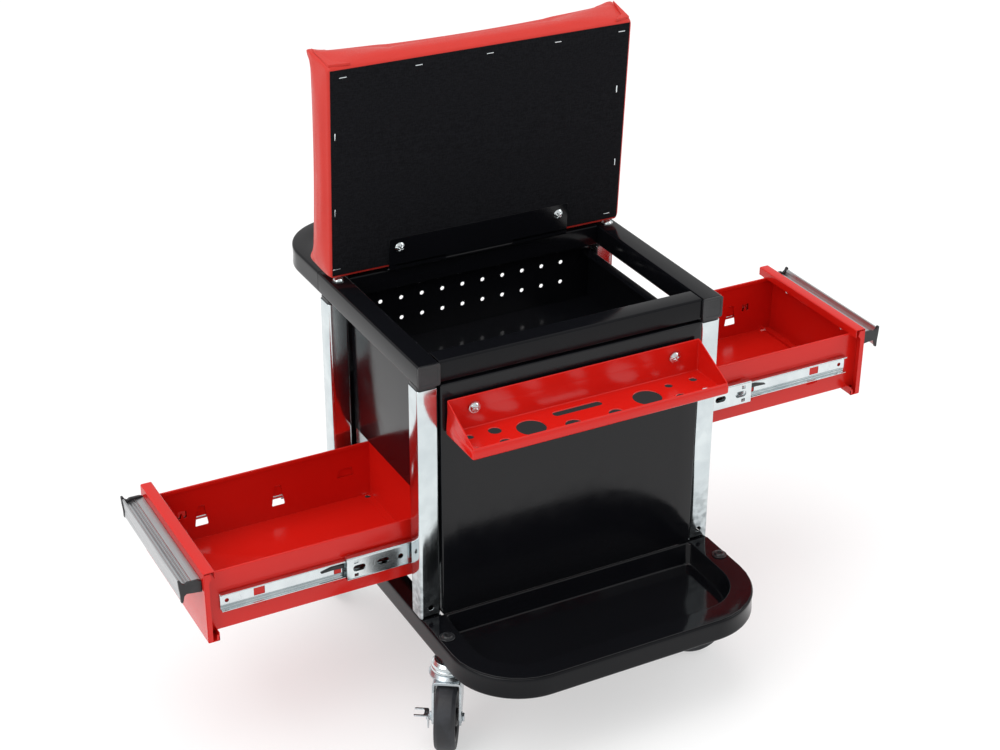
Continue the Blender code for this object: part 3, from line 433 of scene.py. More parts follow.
def addPiece(name, shapes, finish, body, nodes=(), edge=0.0003, place=None):
    # a finished piece at the origin: its shapes in place, its edges eased, its finish, body and CAD nodes
    if place:
        shapes = [moved(shape, place) for shape in shapes]
    piece = rawObject(name.replace("_", "."), joined(shapes))
    piece.data.shade_smooth()
    piece.data.set_sharp_from_angle(angle=math.radians(sharpFrom))
    piece.data.materials.append(finishes[finish])
    if edge:
        ease = piece.modifiers.new("easedEdge", "BEVEL")
        ease.width, ease.segments, ease.limit_method = edge, 2, "ANGLE"
        ease.angle_limit, ease.use_clamp_overlap = math.radians(easedFrom), True
    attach(piece, body)
    if nodes:
        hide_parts(*nodes)
    return piece


def screwHead(radius, height, recess=0.0011, steps=40):
    # a dome, height * (1 - s^2.4), with a cross recess |x| or |y| < 0.14 radius sunk in its middle
    s = np.array([1.0, 1.0, 0.97, 0.9, 0.8, 0.68, 0.56, 0.46, 0.36, 0.26, 0.17, 0.09, 0.03])[:, None]
    angle = np.linspace(0, 2 * math.pi, steps, endpoint=False)[None]
    x, y = s * np.cos(angle), s * np.sin(angle)
    across = np.minimum(np.abs(x), np.abs(y))
    z = height * (1 - s ** 2.4) + 0.18 * height
    z = z - recess * np.clip((0.18 - across) / 0.08, 0, 1) * np.clip((0.66 - s) / 0.12, 0, 1)
    z[0] = 0.0
    return loft(np.stack([radius * x, radius * y, np.broadcast_to(z, x.shape)], -1))


def washer(inner, outer, thickness):
    # a flat ring with a closed square section
    return turned([(inner, 0), (outer, 0), (outer, thickness), (inner, thickness)], 36, True)


# ---- tubes of the frame
tubes = {"corner": 0.0026, "wall": 0.0015, "postCorner": 0.0032, "crush": 0.0011, "bendSteps": 20,
         "pushBend": 0.075, "baseBend": 0.079, "darkBand": 0.0042, "darkBandInset": 0.0009, "boltHole": 0.0032,
         "boltRise": 0.0125}
cap = {"face": 0.0022, "rim": 0.0028, "plugInset": 0.0026}


def hoop(low, high, mouth, bend, way):
    # centre line of a U with two round bends; ring = line + mitre * across + height * up
    # the outer face sinks by crush * sin(pi t) * (1 - (up / half)^2) along each bend
    half = (high[2] - low[2]) / 2
    legX = high[0] - half
    endY = (high[1] if way > 0 else low[1]) - way * half
    radius = bend - half
    t = np.linspace(0, math.pi / 2, tubes["bendSteps"] + 1)
    left = np.stack([-legX + radius * (1 - np.cos(t)), endY - way * radius * (1 - np.sin(t))], -1)
    straight = np.linspace(mouth, left[0, 1], 6)[:-1]
    leg = np.stack([np.full(5, -legX), straight], -1)
    line = np.vstack([leg, left])
    sink = np.concatenate([np.zeros(5), np.sin(2 * t)])
    line = np.vstack([line, (line * (-1, 1))[::-1]])
    sink = np.concatenate([sink, sink[::-1]])[:, None]
    side = mitre(line)
    rings = []
    for inset, corner in ((0.0, tubes["corner"]), (tubes["wall"], tubes["corner"] - tubes["wall"])):
        flat = np.array([[-half + inset, half - inset], [-half + inset, -half + inset]])
        outline = roundedBox((half - inset, half - inset), max(corner, 0.0006), 4)
        middle = np.linspace(-0.6, 0.6, 5)[:, None] * (half - inset)
        # points along each vertical face, so that it can sink
        left = np.hstack([np.full((5, 1), -half + inset), -middle])
        right = np.hstack([np.full((5, 1), half - inset), middle])
        outline = np.vstack([right, outline[:5], outline[5:10], left, outline[10:15], outline[15:20]])
        across, up = outline[:, 0], outline[:, 1]
        outer = np.clip(across * way / half, 0, 1) ** 4
        depth = tubes["crush"] * outer * np.clip(1 - (up / half) ** 2, 0, 1)
        shift = across[None] - way * depth[None] * sink
        ring = np.zeros((len(line), len(outline), 3))
        ring[:, :, :2] = line[:, None] + side[:, None] * shift[:, :, None]
        ring[:, :, 2] = (low[2] + half) + up
        rings.append(ring)
    return loft(np.vstack([rings[0], rings[1][::-1]]), True)


low, high = box("push_hoop")
addPiece("pushHoop", [hoop(low, high, low[1], tubes["pushBend"], 1.0)], "hoop", "frame", ["push_hoop"])
low, high = box("base_hoop")
addPiece("baseHoop", [hoop(low, high, high[1], tubes["baseBend"], -1.0)], "hoop", "frame", ["base_hoop"])
for node, axis in (("top_rail_left", 1), ("top_rail_right", 1), ("top_rail_front", 0), ("top_rail_rear", 0),
                   ("base_rear_cross", 0)):
    addPiece(node, [boxTube(*box(node), axis, tubes["corner"], tubes["wall"])], "hoop", "frame", [node])
for node in ("post_front_left", "post_front_right", "post_rear_left", "post_rear_right"):
    low, high = box(node)
    top = high[2] - tubes["darkBand"]
    post = boxTube(low, np.array([high[0], high[1], top]), 2, tubes["postCorner"], tubes["wall"])
    middle, boltZ = (low[0] + high[0]) / 2, low[2] + tubes["boltRise"]
    hole = rod(tubes["boltHole"], (middle, low[1] - 0.01, boltZ), (middle, high[1] + 0.01, boltZ))
    addPiece(node, [carve(post, [hole])], "post", "frame", [node])
    # the post stops short of the rail; a black band, inset 0.9 mm, fills its top 4.2 mm up to the rail
    inset = np.array([tubes["darkBandInset"], tubes["darkBandInset"], 0.0])
    low = np.array([low[0], low[1], top])
    darkBand = boxTube(low + inset, high - inset, 2, tubes["postCorner"], tubes["wall"])
    addPiece(node.replace("post_", "postCollar."), [darkBand], "plastic", "frame")
for node in ("rail_end_cap_left", "rail_end_cap_right"):
    low, high = box(node)
    rim, inset = cap["rim"], cap["plugInset"]
    face = slab(low, (high[0], low[1] + cap["face"], high[2]), 0.0026, 1)
    dish = slab(low + (rim, -0.001, rim), (high[0] - rim, low[1] + 0.0005, high[2] - rim), 0.0018, 1)
    plug = slab(low + (inset, cap["face"], inset), (high[0] - inset, high[1], high[2] - inset), 0.0014, 1)
    addPiece(node, [carve(face, [dish]), plug], "plastic", "frame", [node])
print("tubes done")


# ---- front tray
tray = {"sheet": 0.0012, "lipInset": 0.0018, "bend": 0.0022, "bendSteps": 6, "hoopTube": 0.0250,
        "slope": 0.0035, "backLip": 0.0022, "backSlope": 0.0089, "boltX": 0.172, "boltAhead": 0.042,
        "railBoltX": 0.1705, "railBoltBehind": 0.0065}


def trayRing(sideInset, backInset, z, steps=8):
    # a rectangle inset from the hoop, with the hoop's bend left of the inset as its front corners' radius
    baseLow, baseHigh = box("base_hoop")
    trayHigh = box("front_tray")[1]
    halfX, front, back = baseHigh[0] - sideInset, baseLow[1] + sideInset, trayHigh[1] - backInset
    radius = tubes["baseBend"] - sideInset
    rear = 0.003 + min(backInset, 0.005)
    ring = []
    corners = ((halfX, back, rear), (-halfX, back, rear), (-halfX, front, radius), (halfX, front, radius))
    for start, (x, y, corner) in zip((0, 90, 180, 270), corners):
        angle = np.radians(start + 90.0 * np.linspace(0, 1, steps + 1))
        centre = np.array([x - math.copysign(corner, x), y + (corner if y == front else -corner)])
        ring.append(centre + corner * np.stack([np.cos(angle), np.sin(angle)], -1))
    ring = np.vstack(ring)
    return np.hstack([ring, np.full((len(ring), 1), z)])


def trayShape():
    # the side's folded line and the back's, carried together round the ring, and both offset by the sheet
    low, high = box("front_tray")
    top, floor = high[2], low[2]
    tube, bottom = tray["hoopTube"] + 0.0015, floor + tray["sheet"]
    sides = [(tray["lipInset"], top), (tube, top), (tube + tray["slope"], bottom), (0.075, bottom)]
    backs = [(0.0, top), (tray["backLip"], top), (tray["backSlope"], bottom), (0.05, bottom)]
    lines = [bendLine(corners, tray["bend"], tray["bendSteps"]) for corners in (sides, backs)]
    under = [line - mitre(line) * tray["sheet"] for line in lines]
    rings = [trayRing(a[0], b[0], a[1]) for a, b in zip(lines[0][::-1], lines[1][::-1])]
    rings += [trayRing(a[0], b[0], a[1]) for a, b in zip(under[0], under[1])]
    return loft(rings)


addPiece("frontTray", [trayShape()], "tray", "frame", ["front_tray"], 0.0002)
plug = [(0.0001, 0.0002), (0.0082, 0.0002), (0.0084, 0.0010), (0.0080, 0.0014), (0.0062, 0.0015),
        (0.0059, 0.0021), (0.0054, 0.0031), (0.0046, 0.0035), (0.0028, 0.0036), (0.0022, 0.0020),
        (0.0001, 0.0019)]   # (radius, height) of a stepped black plug
trayBoltY, trayTop = box("post_front_left")[0][1] - tray["boltAhead"], box("front_tray")[1][2]
railBoltY, railTop = box("hinge_leaf_frame")[0][1] + tray["railBoltBehind"], box("top_rail_left")[1][2]
trayBolts, railBolts = [], []
for side in (-1, 1):
    trayBolts.append(facing(turned(plug, 48), (side * tray["boltX"], trayBoltY, trayTop), (0, 0, 1)))
    x = side * tray["railBoltX"]
    railBolts += [facing(washer(0.0030, 0.0068, 0.0008), (x, railBoltY, railTop), (0, 0, 1)),
                  facing(screwHead(0.0054, 0.0030), (x, railBoltY, railTop + 0.0008), (0, 0, 1), 0.9)]
addPiece("trayBolts", trayBolts, "plastic", "frame", (), 0)
addPiece("railBolts", railBolts, "zinc", "frame", (), 0)
print("tray done")


# ---- cabinet panels
panels = {"sheet": 0.0010, "bend": 0.0014, "corner": 0.0016, "holeRadius": 0.0025, "pitch": 0.0257,
          "holeDrops": (0.0184, 0.0435), "holesInRow": 10, "lip": 0.013, "bracketShoulder": 0.034}


def panRing(low, high, inset, y, corner):
    # a rectangle in the XZ plane at a depth y
    half = np.array([(high[0] - low[0]) / 2 - inset, (high[2] - low[2]) / 2 - inset])
    flat = roundedBox(half, max(corner, 0.0003), 3)
    middle = (np.asarray(low) + high) / 2
    return np.stack([flat[:, 0] + middle[0], np.full(len(flat), y), flat[:, 1] + middle[2]], -1)


def pan(low, high, sheet, bend, corner):
    # a face in front with its four edges folded back: folded line (inset, y) and its offset, round the ring
    line = bendLine([(0.02, low[1]), (0.0, low[1]), (0.0, high[1])], bend, 4)
    inner = line - mitre(line) * sheet
    rings = [panRing(low, high, inset, y, corner - inset) for inset, y in np.vstack([line, inner[::-1]])]
    return loft(rings)


low, high = box("front_panel")
addPiece("frontPanel", [pan(low, high, panels["sheet"], panels["bend"], panels["corner"])], "black", "frame",
         ["front_panel"], 0.0002)
low, high = box("rear_panel")
rails = box("top_rail_front")[0][2]
rowHalf = (panels["holesInRow"] - 1) / 2
holes = [rod(panels["holeRadius"], ((i - rowHalf) * panels["pitch"], low[1] - 0.004, rails - drop),
             ((i - rowHalf) * panels["pitch"], low[1] + 0.004, rails - drop), 20)
         for drop in panels["holeDrops"] for i in range(panels["holesInRow"])]
rearPanel = carve(pan(low, high, panels["sheet"], panels["bend"], panels["corner"]), holes)
addPiece("rearPanel", [rearPanel], "black", "frame", ["rear_panel"], 0.0)
for node, side in (("side_panel_left", -1), ("side_panel_right", 1)):
    low, high = box(node)
    face, fold = (low[0], high[0]) if side < 0 else (high[0], low[0])
    profile = [(fold, low[2]), (face, low[2]), (face, high[2]), (fold, high[2])]
    outline = foldedSheet(profile, side * panels["sheet"], 1, low[1], high[1])
    addPiece(node, [outline], "black", "frame", [node], 0.0002)
low, high = box("compartment")
profile = [(high[0] - panels["lip"], high[2]), (high[0], high[2]), (high[0], low[2]), (low[0], low[2]),
           (low[0], high[2]), (low[0] + panels["lip"], high[2])]
addPiece("compartment", [foldedSheet(profile, -panels["sheet"], 1, low[1], high[1])], "black", "frame",
         ["compartment"], 0.0002)
for node in ("slide_bracket_front", "slide_bracket_rear"):
    # wide below the shoulder, between the side panels above it
    low, high = box(node)
    shoulder = box("drawer_tray_lower")[1][2] - panels["bracketShoulder"]
    inner = box("side_panel_right")[1][0] - 0.0015
    outline = bendLine([(low[0], low[2]), (high[0], low[2]), (high[0], shoulder), (inner, shoulder),
                        (inner, high[2]), (-inner, high[2]), (-inner, shoulder), (low[0], shoulder)],
                       0.002, 3, True)
    addPiece(node, [extrude(outline, 1, (low[1], high[1]))], "zinc", "frame", [node], 0.0002)
print("panels done")


# ---- tool holder on the front panel
holder = {"sheet": 0.0012, "bend": 0.0014, "lip": 0.011, "reach": 0.059, "screwX": 0.121, "screwDrop": 0.0146,
          "slotFrom": -0.0365, "slotTo": 0.0225, "slotBehind": 0.015, "slotHalf": 0.005}
holderRows = (   # each row's distance behind the back, then (x, radius) of its holes
    (0.0280, ((-0.069, 0.016), (0.071, 0.016))),
    (0.0162, ((-0.1344, 0.0045), (-0.1055, 0.00725), (0.105, 0.0045), (0.136, 0.0045))),
    (0.0420, ((-0.137, 0.004), (-0.1055, 0.007), (-0.0255, 0.010), (0.0255, 0.009), (0.1055, 0.006),
              (0.137, 0.005))))


def holderShape(low, high):
    # folded line (inset, height share) round a rectangle; the rim falls from the back to the front lip
    sheet = holder["sheet"]
    line = bendLine([(0.02, 0.0), (0.0, 0.0), (0.0, 0.008)], holder["bend"], 4)
    line = np.vstack([line, [(0.0, 1.0)]])
    inner = line + np.where(line[:, 1:] >= 1.0, (sheet, 0.0), mitre(line) * sheet)
    rings = []
    middle = (low + high) / 2
    for inset, up in np.vstack([line, inner[::-1]]):
        half = np.array([(high[0] - low[0]) / 2, holder["reach"] / 2]) - inset
        flat = roundedBox(half, max(0.0016 - inset, 0.0004), 3) + (middle[0], high[1] - holder["reach"] / 2)
        back = np.clip((flat[:, 1] - low[1]) / holder["reach"], 0, 1)
        rim = low[2] + holder["lip"] + (high[2] - low[2] - holder["lip"]) * back
        z = rim if up >= 1.0 else np.full(len(flat), low[2] + up)
        rings.append(np.hstack([flat, z[:, None]]))
    return loft(rings)


low, high = box("tool_holder")
high = high.copy()
high[1] = low[1] + holder["reach"]
cutters = [rod(radius, (x, high[1] - behind, low[2] - 0.004), (x, high[1] - behind, low[2] + 0.004), 48)
           for behind, holesOfRow in holderRows for x, radius in holesOfRow]
slotY = high[1] - holder["slotBehind"]
cutters.append(slab((holder["slotFrom"], slotY - holder["slotHalf"], low[2] - 0.004),
                    (holder["slotTo"], slotY + holder["slotHalf"], low[2] + 0.004), 0.0049, 2, 8))
addPiece("toolHolder", [carve(holderShape(low, high), cutters)], "red", "frame", ["tool_holder"], 0.0)
screwShapes, spacers = [], []
for side in (-1, 1):
    spot = np.array([side * holder["screwX"], high[1] - holder["sheet"], high[2] - holder["screwDrop"]])
    screwShapes += [facing(washer(0.003, 0.0068, 0.0008), spot, (0, -1, 0)),
                    facing(screwHead(0.0052, 0.0026), spot - (0, 0.0008, 0), (0, -1, 0), 0.3 * side)]
    spacers.append(rod(0.005, (spot[0], high[1], spot[2]), (spot[0], box("front_panel")[0][1], spot[2])))
addPiece("holderScrews", screwShapes, "zinc", "frame", (), 0)
addPiece("holderSpacers", spacers, "zinc", "frame", (), 0.0003)
print("tool holder done")


# ---- drawers
drawers = {"sheet": 0.0010, "fold": 0.010, "bend": 0.0016, "channel": 0.0125, "slit": 0.0024, "hem": 0.0024,
           "hemDrop": 0.0045, "cheek": 0.0058, "rearFold": 0.009, "notchIn": 0.0045, "notchHalf": 0.0025,
           "drain": 0.0034, "drainBehind": 0.0065, "drainIn": 0.0060, "pullRidge": 0.0010, "pullDrop": 0.0128,
           "capGap": 0.0003, "capEnd": 0.0037, "screwY": 0.055, "screwDrop": 0.0165}
wallWindows = (   # each outline (behind the plate, above the floor) with its shifts towards the rear
    (((0.0221, 0.0320), (0.0321, 0.0320), (0.0321, 0.0414), (0.0221, 0.0414)), (0.0,)),
    (((0.0411, 0.0170), (0.0567, 0.0170), (0.0548, 0.0300), (0.0530, 0.0428), (0.0450, 0.0428),
      (0.0430, 0.0300)), (0.0, 0.0911)),
    (((0.0200, 0.0318), (0.0400, 0.0318), (0.0380, 0.0426), (0.0220, 0.0426)), (0.1929,)))
# pressed hooks: (behind the plate, half width, above the floor)
wallHooks = (0.0490, 0.0062, 0.0292), (0.1401, 0.0062, 0.0292), (0.2230, 0.0100, 0.0300)
stampedHoles = {   # measured back from the member's outer end: (behind, up, half length, half height, corner)
    "inner": ((0.0072, 0.0, 0.0024, 0.0024, 0.00235), (0.0430, 0.0006, 0.0062, 0.0046, 0.0005),
              (0.1310, -0.0026, 0.0042, 0.0030, 0.0005), (0.1700, 0.0, 0.0046, 0.0022, 0.0021),
              (0.2250, 0.0, 0.0024, 0.0024, 0.00235)),
    "middle": ((0.0105, 0.0083, 0.0024, 0.0021, 0.0003), (0.0105, -0.0083, 0.0024, 0.0021, 0.0003),
               (0.0140, 0.0, 0.0072, 0.0038, 0.0036), (0.0415, 0.0, 0.0070, 0.0036, 0.0034),
               (0.0620, 0.0, 0.0031, 0.0031, 0.0030), (0.1200, 0.0, 0.0060, 0.0028, 0.0006)),
    "outer": ((0.0120, 0.0, 0.0030, 0.0030, 0.0029), (0.0400, 0.0, 0.0060, 0.0028, 0.0027),
              (0.1100, 0.0, 0.0030, 0.0030, 0.0029)),
}
bayMiddle = (box("drawer_front_upper")[0][1] + box("drawer_front_upper")[1][1]) / 2


def drawerSpot(sign):
    # out, across, up -> frame axes; the lower drawer is the upper one turned half a turn about +Z
    return lambda points: points * (sign, sign, 1.0) + (0.0, bayMiddle, 0.0)


def distances(node):
    # nearest and farthest distance from the middle plane, and the height range
    low, high = box(node)
    return min(abs(low[0]), abs(high[0])), max(abs(low[0]), abs(high[0])), low[2], high[2]


def plateShapes(node):
    # one sheet folded over the top and bottom, with a flat cheek and a bottom curl at each end
    near, far, bottom, top = distances(node)
    half = (box(node)[1][1] - box(node)[0][1]) / 2
    sheet, fold = drawers["sheet"], drawers["fold"]
    profile = [(near, top - fold), (near, top), (far, top), (far, bottom), (near, bottom),
               (near, bottom + fold)]
    shapes = [foldedSheet(profile, -sheet, 1, -half, half, drawers["bend"])]
    behind, channel, slit = far - drawers["cheek"], top - drawers["channel"], top - drawers["slit"]
    cheek = bendLine([(behind, bottom + sheet), (behind, channel), (near + 0.0040, channel + 0.0030),
                      (near + 0.0055, slit), (far - sheet, slit), (far - sheet, bottom + sheet)],
                     0.0012, 3, True)
    curl = bendLine([(near, bottom), (near, bottom + 0.0060), (near + 0.0030, bottom + 0.0085),
                     (near + 0.0035, bottom)], 0.0008, 3, True)
    for edge, inner in ((-half, -half + sheet), (half, half - sheet)):
        shapes += [extrude(outline, 1, sorted((edge, inner))) for outline in (cheek, curl)]
    return shapes


def boxShapes(node, plate):
    # the floor with both walls as one folded U up to the plate's sheet, and the rear wall folded from it
    near, far, bottom, top = distances(node)
    far = plate - drawers["sheet"] - 0.0002
    half = (box(node)[1][1] - box(node)[0][1]) / 2
    sheet = drawers["sheet"]
    hem, drop = drawers["hem"], drawers["hemDrop"]
    line = [(-half + hem, top - drop), (-half + hem, top), (-half, top), (-half, bottom), (half, bottom),
            (half, top), (half - hem, top), (half - hem, top - drop)]
    walls = foldedSheet(line, sheet, 0, near, far, 0.0011)
    foot = bottom + 0.0004
    rear = foldedSheet([(near, top), (near, foot), (near + drawers["rearFold"], foot)], sheet, 1,
                       -half + sheet, half - sheet, drawers["bend"])
    return walls, rear


def wallCutters(plate, floor, half):
    # the windows cut through both walls, each outline at each of its shifts towards the rear
    cutters = []
    for outline, shifts in wallWindows:
        for shift in shifts:
            line = bendLine([(plate - behind - shift, floor + up) for behind, up in outline], 0.0012, 3, True)
            cutters.append(extrude(line, 1, (-half - 0.004, half + 0.004)))
    return cutters


def tabShapes(plate, floor, half):
    # a small pointed tab left standing in the first window, and the pressed hooks behind the others' tops
    shapes = []
    for side in (-1, 1):
        line = bendLine([(plate - 0.0292, floor + 0.0320), (plate - 0.0246, floor + 0.0320),
                         (plate - 0.0270, floor + 0.0374)], 0.0005, 2, True)
        shapes.append(extrude(line, 1, sorted((side * half, side * (half - 0.0010)))))
        inner, outer = sorted((side * (half + 0.0006), side * (half + 0.0016)))
        for behind, width, up in wallHooks:
            middle, neck = plate - behind, width * 0.6
            hook = (middle - width, inner, floor + up), (middle + width, outer, floor + 0.0440)
            bridge = ((middle - neck, min(side * half, inner) - 0.0001, floor + 0.0432),
                      (middle + neck, max(side * half, outer) + 0.0001, floor + 0.0442))
            shapes += [slab(*hook, 0.0010, 1), slab(*bridge, 0.0002, 2)]
    return shapes


def pullOutline():
    # (out, up): a web 0.0058 - 0.0026 (out / 0.018)^1.6 + ridge * the sum of three exp(-(offset / 0.0007)^2),
    # then a lip standing up and down, closed back to the plate
    out = np.linspace(0.0, 0.0180, 70)
    ridges = np.exp(-((out[:, None] - np.array([0.0100, 0.0128, 0.0156])) / 0.0007) ** 2).sum(-1)
    webTop = 0.0058 - 0.0026 * (out / 0.018) ** 1.6 + drawers["pullRidge"] * ridges
    web = np.stack([out, webTop], -1)
    lip = bendLine([(0.0188, 0.0032), (0.0203, 0.0056), (0.0218, 0.0098), (0.0237, 0.0100), (0.0231, 0.0030),
                    (0.0222, -0.0060), (0.0226, -0.0132), (0.0206, -0.0132), (0.0196, -0.0070),
                    (0.0176, -0.0036)], 0.0008, 3)
    under = np.array([(0.0140, -0.0038), (0.0100, -0.0040), (0.0100, -0.0058), (0.0, -0.0058)])
    return np.vstack([web, lip, under])


def capOutline():
    # the plastic end cap: the pull's stem block and its Y-shaped lip, a little larger
    return bendLine([(0.0, 0.0062), (0.0036, 0.0078), (0.0150, 0.0080), (0.0176, 0.0062), (0.0204, 0.0082),
                     (0.0222, 0.0120), (0.0246, 0.0118), (0.0240, 0.0020), (0.0231, -0.0060),
                     (0.0230, -0.0144), (0.0206, -0.0144), (0.0190, -0.0070), (0.0165, -0.0050),
                     (0.0, -0.0070)], 0.0009, 3, True)


def slideSection(half, web, lip, way, drop=0.0012):
    # a C: two turned-in edges, two lips and the web, stepped on the inner member, as (across, up)
    turn = 0.0014 * way
    upper = [(lip, half - drop), (lip - turn * 0.2, half), (web, half)]
    if way > 0:
        upper += [(web, half * 0.66), (web + 0.0008, half * 0.58)]
    return upper + [(across, -up) for across, up in reversed(upper)]


def slideHoles(member, end, y, z, reach=0.004):
    return [slab((end - behind - length, y - reach, z + up - height),
                 (end - behind + length, y + reach, z + up + height), corner, 1, 5)
            for behind, up, length, height, corner in stampedHoles[member]]


def slideShape(member, drawer, label):
    # the member's C carried along X, its web cut by its stamped holes, in the drawer's own axes
    node = "slide_" + member + "_" + drawer + "_" + label
    sign = 1.0 if drawer == "upper" else -1.0
    way = 1 if member == "inner" else -1
    low, high = box(node)
    ends = sorted((sign * low[0], sign * high[0]))
    across = sorted((sign * (low[1] - bayMiddle), sign * (high[1] - bayMiddle)))
    side = 1.0 if across[0] > 0 else -1.0
    inside, outside = sorted((abs(across[0]), abs(across[1])))
    half, middleZ = (high[2] - low[2]) / 2, (high[2] + low[2]) / 2
    web, lip = (inside, outside) if member == "inner" else (outside, inside)
    section = [(side * out, up + middleZ) for out, up in slideSection(half, web, lip, way)]
    raw = foldedSheet(section, 0.0012 * side * way, 0, ends[0], ends[1], 0.0016, 3)
    shape = carve(raw, slideHoles(member, ends[1], side * web, middleZ))
    return node, shape, (ends[1], side, web, middleZ)


def slideFittings(end, side, web, z):
    # the white tab and the black release lever that stand off the inner member's web
    tab = bendLine([(end - 0.0240, z - 0.0032), (end - 0.0185, z - 0.0032), (end - 0.0212, z + 0.0044)],
                   0.0005, 2, True)
    lever = bendLine([(end - 0.1385, z + 0.0002), (end - 0.1385, z + 0.0048), (end - 0.1260, z + 0.0052),
                      (end - 0.1120, z + 0.0014), (end - 0.1120, z + 0.0004), (end - 0.1250, z + 0.0010)],
                     0.0006, 3, True)
    return (extrude(tab, 1, sorted((side * (web + 0.0010), side * (web + 0.0021)))),
            extrude(lever, 1, sorted((side * (web + 0.0016), side * (web + 0.0036)))))


for drawer, sign in (("upper", 1.0), ("lower", -1.0)):
    spot, body = drawerSpot(sign), "drawer_" + drawer
    plateNode, trayNode, pullNode = "drawer_front_" + drawer, "drawer_tray_" + drawer, "pull_" + drawer
    near, far, bottom, top = distances(plateNode)
    addPiece("drawerFront." + drawer, plateShapes(plateNode), "red", body, [plateNode], 0.0002, spot)
    trayNear, trayFar, trayLow, trayHigh = distances(trayNode)
    half = (box(trayNode)[1][1] - box(trayNode)[0][1]) / 2
    walls, rear = boxShapes(trayNode, far)
    notches, drains, behind = [], [], trayNear + drawers["drainBehind"]
    for side in (-1, 1):
        y = side * (half - drawers["notchIn"])
        notches.append(slab((trayFar - 0.004, y - drawers["notchHalf"], trayLow - 0.004),
                            (trayFar + 0.001, y + drawers["notchHalf"], trayLow + 0.004), 0.0008, 2))
        y = side * (half - drawers["drainIn"])
        drains.append(rod(drawers["drain"], (behind, y, trayLow - 0.002), (behind, y, trayLow + 0.004), 20))
    walls = carve(walls, wallCutters(near, trayLow, half) + notches + drains)
    rear = carve(rear, drains)
    addPiece("drawerTray." + drawer, [walls, rear] + tabShapes(near, trayLow, half), "red", body, [trayNode],
             0.0002, spot)
    pullNear, pullHigh = distances(pullNode)[::3]
    pullZ = pullHigh - drawers["pullDrop"]
    pullHalf = (box(pullNode)[1][1] - box(pullNode)[0][1]) / 2
    bar = extrude(pullOutline() + (pullNear, pullZ), 1, (-pullHalf, pullHalf))
    addPiece("pull." + drawer, [bar], "aluminium", body, [pullNode], 0.0, spot)
    for label, side in (("a", -1), ("b", 1)):
        edges = sorted((side * (pullHalf + drawers["capGap"]), side * (pullHalf + drawers["capEnd"])))
        cap = extrude(capOutline() + (pullNear, pullZ), 1, edges)
        addPiece("pullCap." + drawer + "." + label, [cap], "plastic", body,
                 ["pull_cap_" + drawer + "_" + label], 0.0004, spot)
    screws = [facing(screwHead(0.0044, 0.0018), (far - drawers["sheet"], y, top - drawers["screwDrop"]),
                     (-1, 0, 0), 0.5) for y in (-drawers["screwY"], drawers["screwY"])]
    addPiece("plateScrews." + drawer, screws, "zinc", body, (), 0, spot)
    for label in ("a", "b"):
        tail = "." + drawer + "." + label
        for member, owner in (("outer", "frame"), ("middle", "slide_middle_" + drawer), ("inner", body)):
            node, shape, facts = slideShape(member, drawer, label)
            addPiece("slide." + member + tail, [shape], "zinc", owner, [node], 0.0, spot)
        tab, lever = slideFittings(*facts)
        addPiece("slideTab" + tail, [tab], "zinc", body, (), 0.0002, spot)
        addPiece("slideRelease" + tail, [lever], "plastic", body, (), 0.0002, spot)
print("drawers done")


# ---- seat lid
pinLow, pinHigh = box("hinge_pin")
seat = {"angle": 86.5, "hingeY": (pinLow[1] + pinHigh[1]) / 2, "hingeZ": (pinLow[2] + pinHigh[2]) / 2,
        "half": 0.1820, "foot": 0.0029, "head": 0.2480, "back": -0.00135, "front": 0.05300, "pull": 0.0062,
        "flare": 0.0050, "rise": 0.0068, "corner": 0.0030, "voxel": 0.0035, "puff": 0.004, "puffFrames": 20,
        "clothDrop": 0.0005, "clothHalf": 0.1792, "clothFoot": 0.0065, "clothHead": 0.2442}


def seatSpot(points):
    # (across, along the lid, out of its cushion side), turned up about the hinge by the lid's angle
    c, s = math.cos(math.radians(seat["angle"])), math.sin(math.radians(seat["angle"]))
    x, v, w = points.T
    return np.stack([x, seat["hingeY"] - v * c + w * s, seat["hingeZ"] + v * s + w * c], -1)


def cushionForm():
    # rings round the lid, each at (inset, depth): half width = half + flare * share - inset and
    # far side = head + rise * share - inset, where share = depth / thickness
    # the far, the end and the hinge sides sink by 1.45, 0.6, 0.3 times pull * (share - 0.05) * sin(pi t)^0.8
    depth = seat["front"] - seat["back"]
    line = np.vstack([
        [(0.060, 0.0)], [(0.030, 0.0)],
        bendLine([(0.014, 0.0), (0.0002, 0.0), (0.0, 0.006)], 0.0022, 5),
        [(0.0, 0.014)], [(0.0, 0.022)], [(0.0, 0.030)],
        bendLine([(0.0, 0.036), (0.0, depth - 0.0026), (0.012, depth - 0.0012)], 0.0036, 6),
        [(0.026, depth - 0.0006), (0.050, depth), (0.080, depth), (0.112, depth)]])
    rings = []
    steps = np.linspace(0, 1, 34)[1:-1, None]
    sag = np.sin(math.pi * steps[:, 0]) ** 0.8
    inwards = np.array([(0, -1), (1, 0), (0, 1), (-1, 0)], float)
    for inset, w in line:
        share = min(w / depth, 1.0)
        head = seat["head"] + seat["rise"] * share
        half = np.array([seat["half"] + seat["flare"] * share, (head - seat["foot"]) / 2]) - inset
        arcs = roundedBox(half, max(seat["corner"] - inset * 0.2, 0.0018), 5)
        sides = []
        for i, amount in enumerate((1.45, 0.6, 0.3, 0.6)):
            arc, nextArc = arcs[6 * i:6 * i + 6], arcs[(6 * i + 6) % 24:(6 * i + 6) % 24 + 1]
            run = arc[-1] + (nextArc - arc[-1]) * steps
            sides += [arc, run + inwards[i] * (seat["pull"] * amount * max(share - 0.05, 0.0) * sag[:, None])]
        ring = np.vstack(sides)
        rings.append(np.hstack([ring[:, :1], ring[:, 1:] + (head + seat["foot"]) / 2,
                                np.full((len(ring), 1), seat["back"] + w)]))
    return loft(rings)


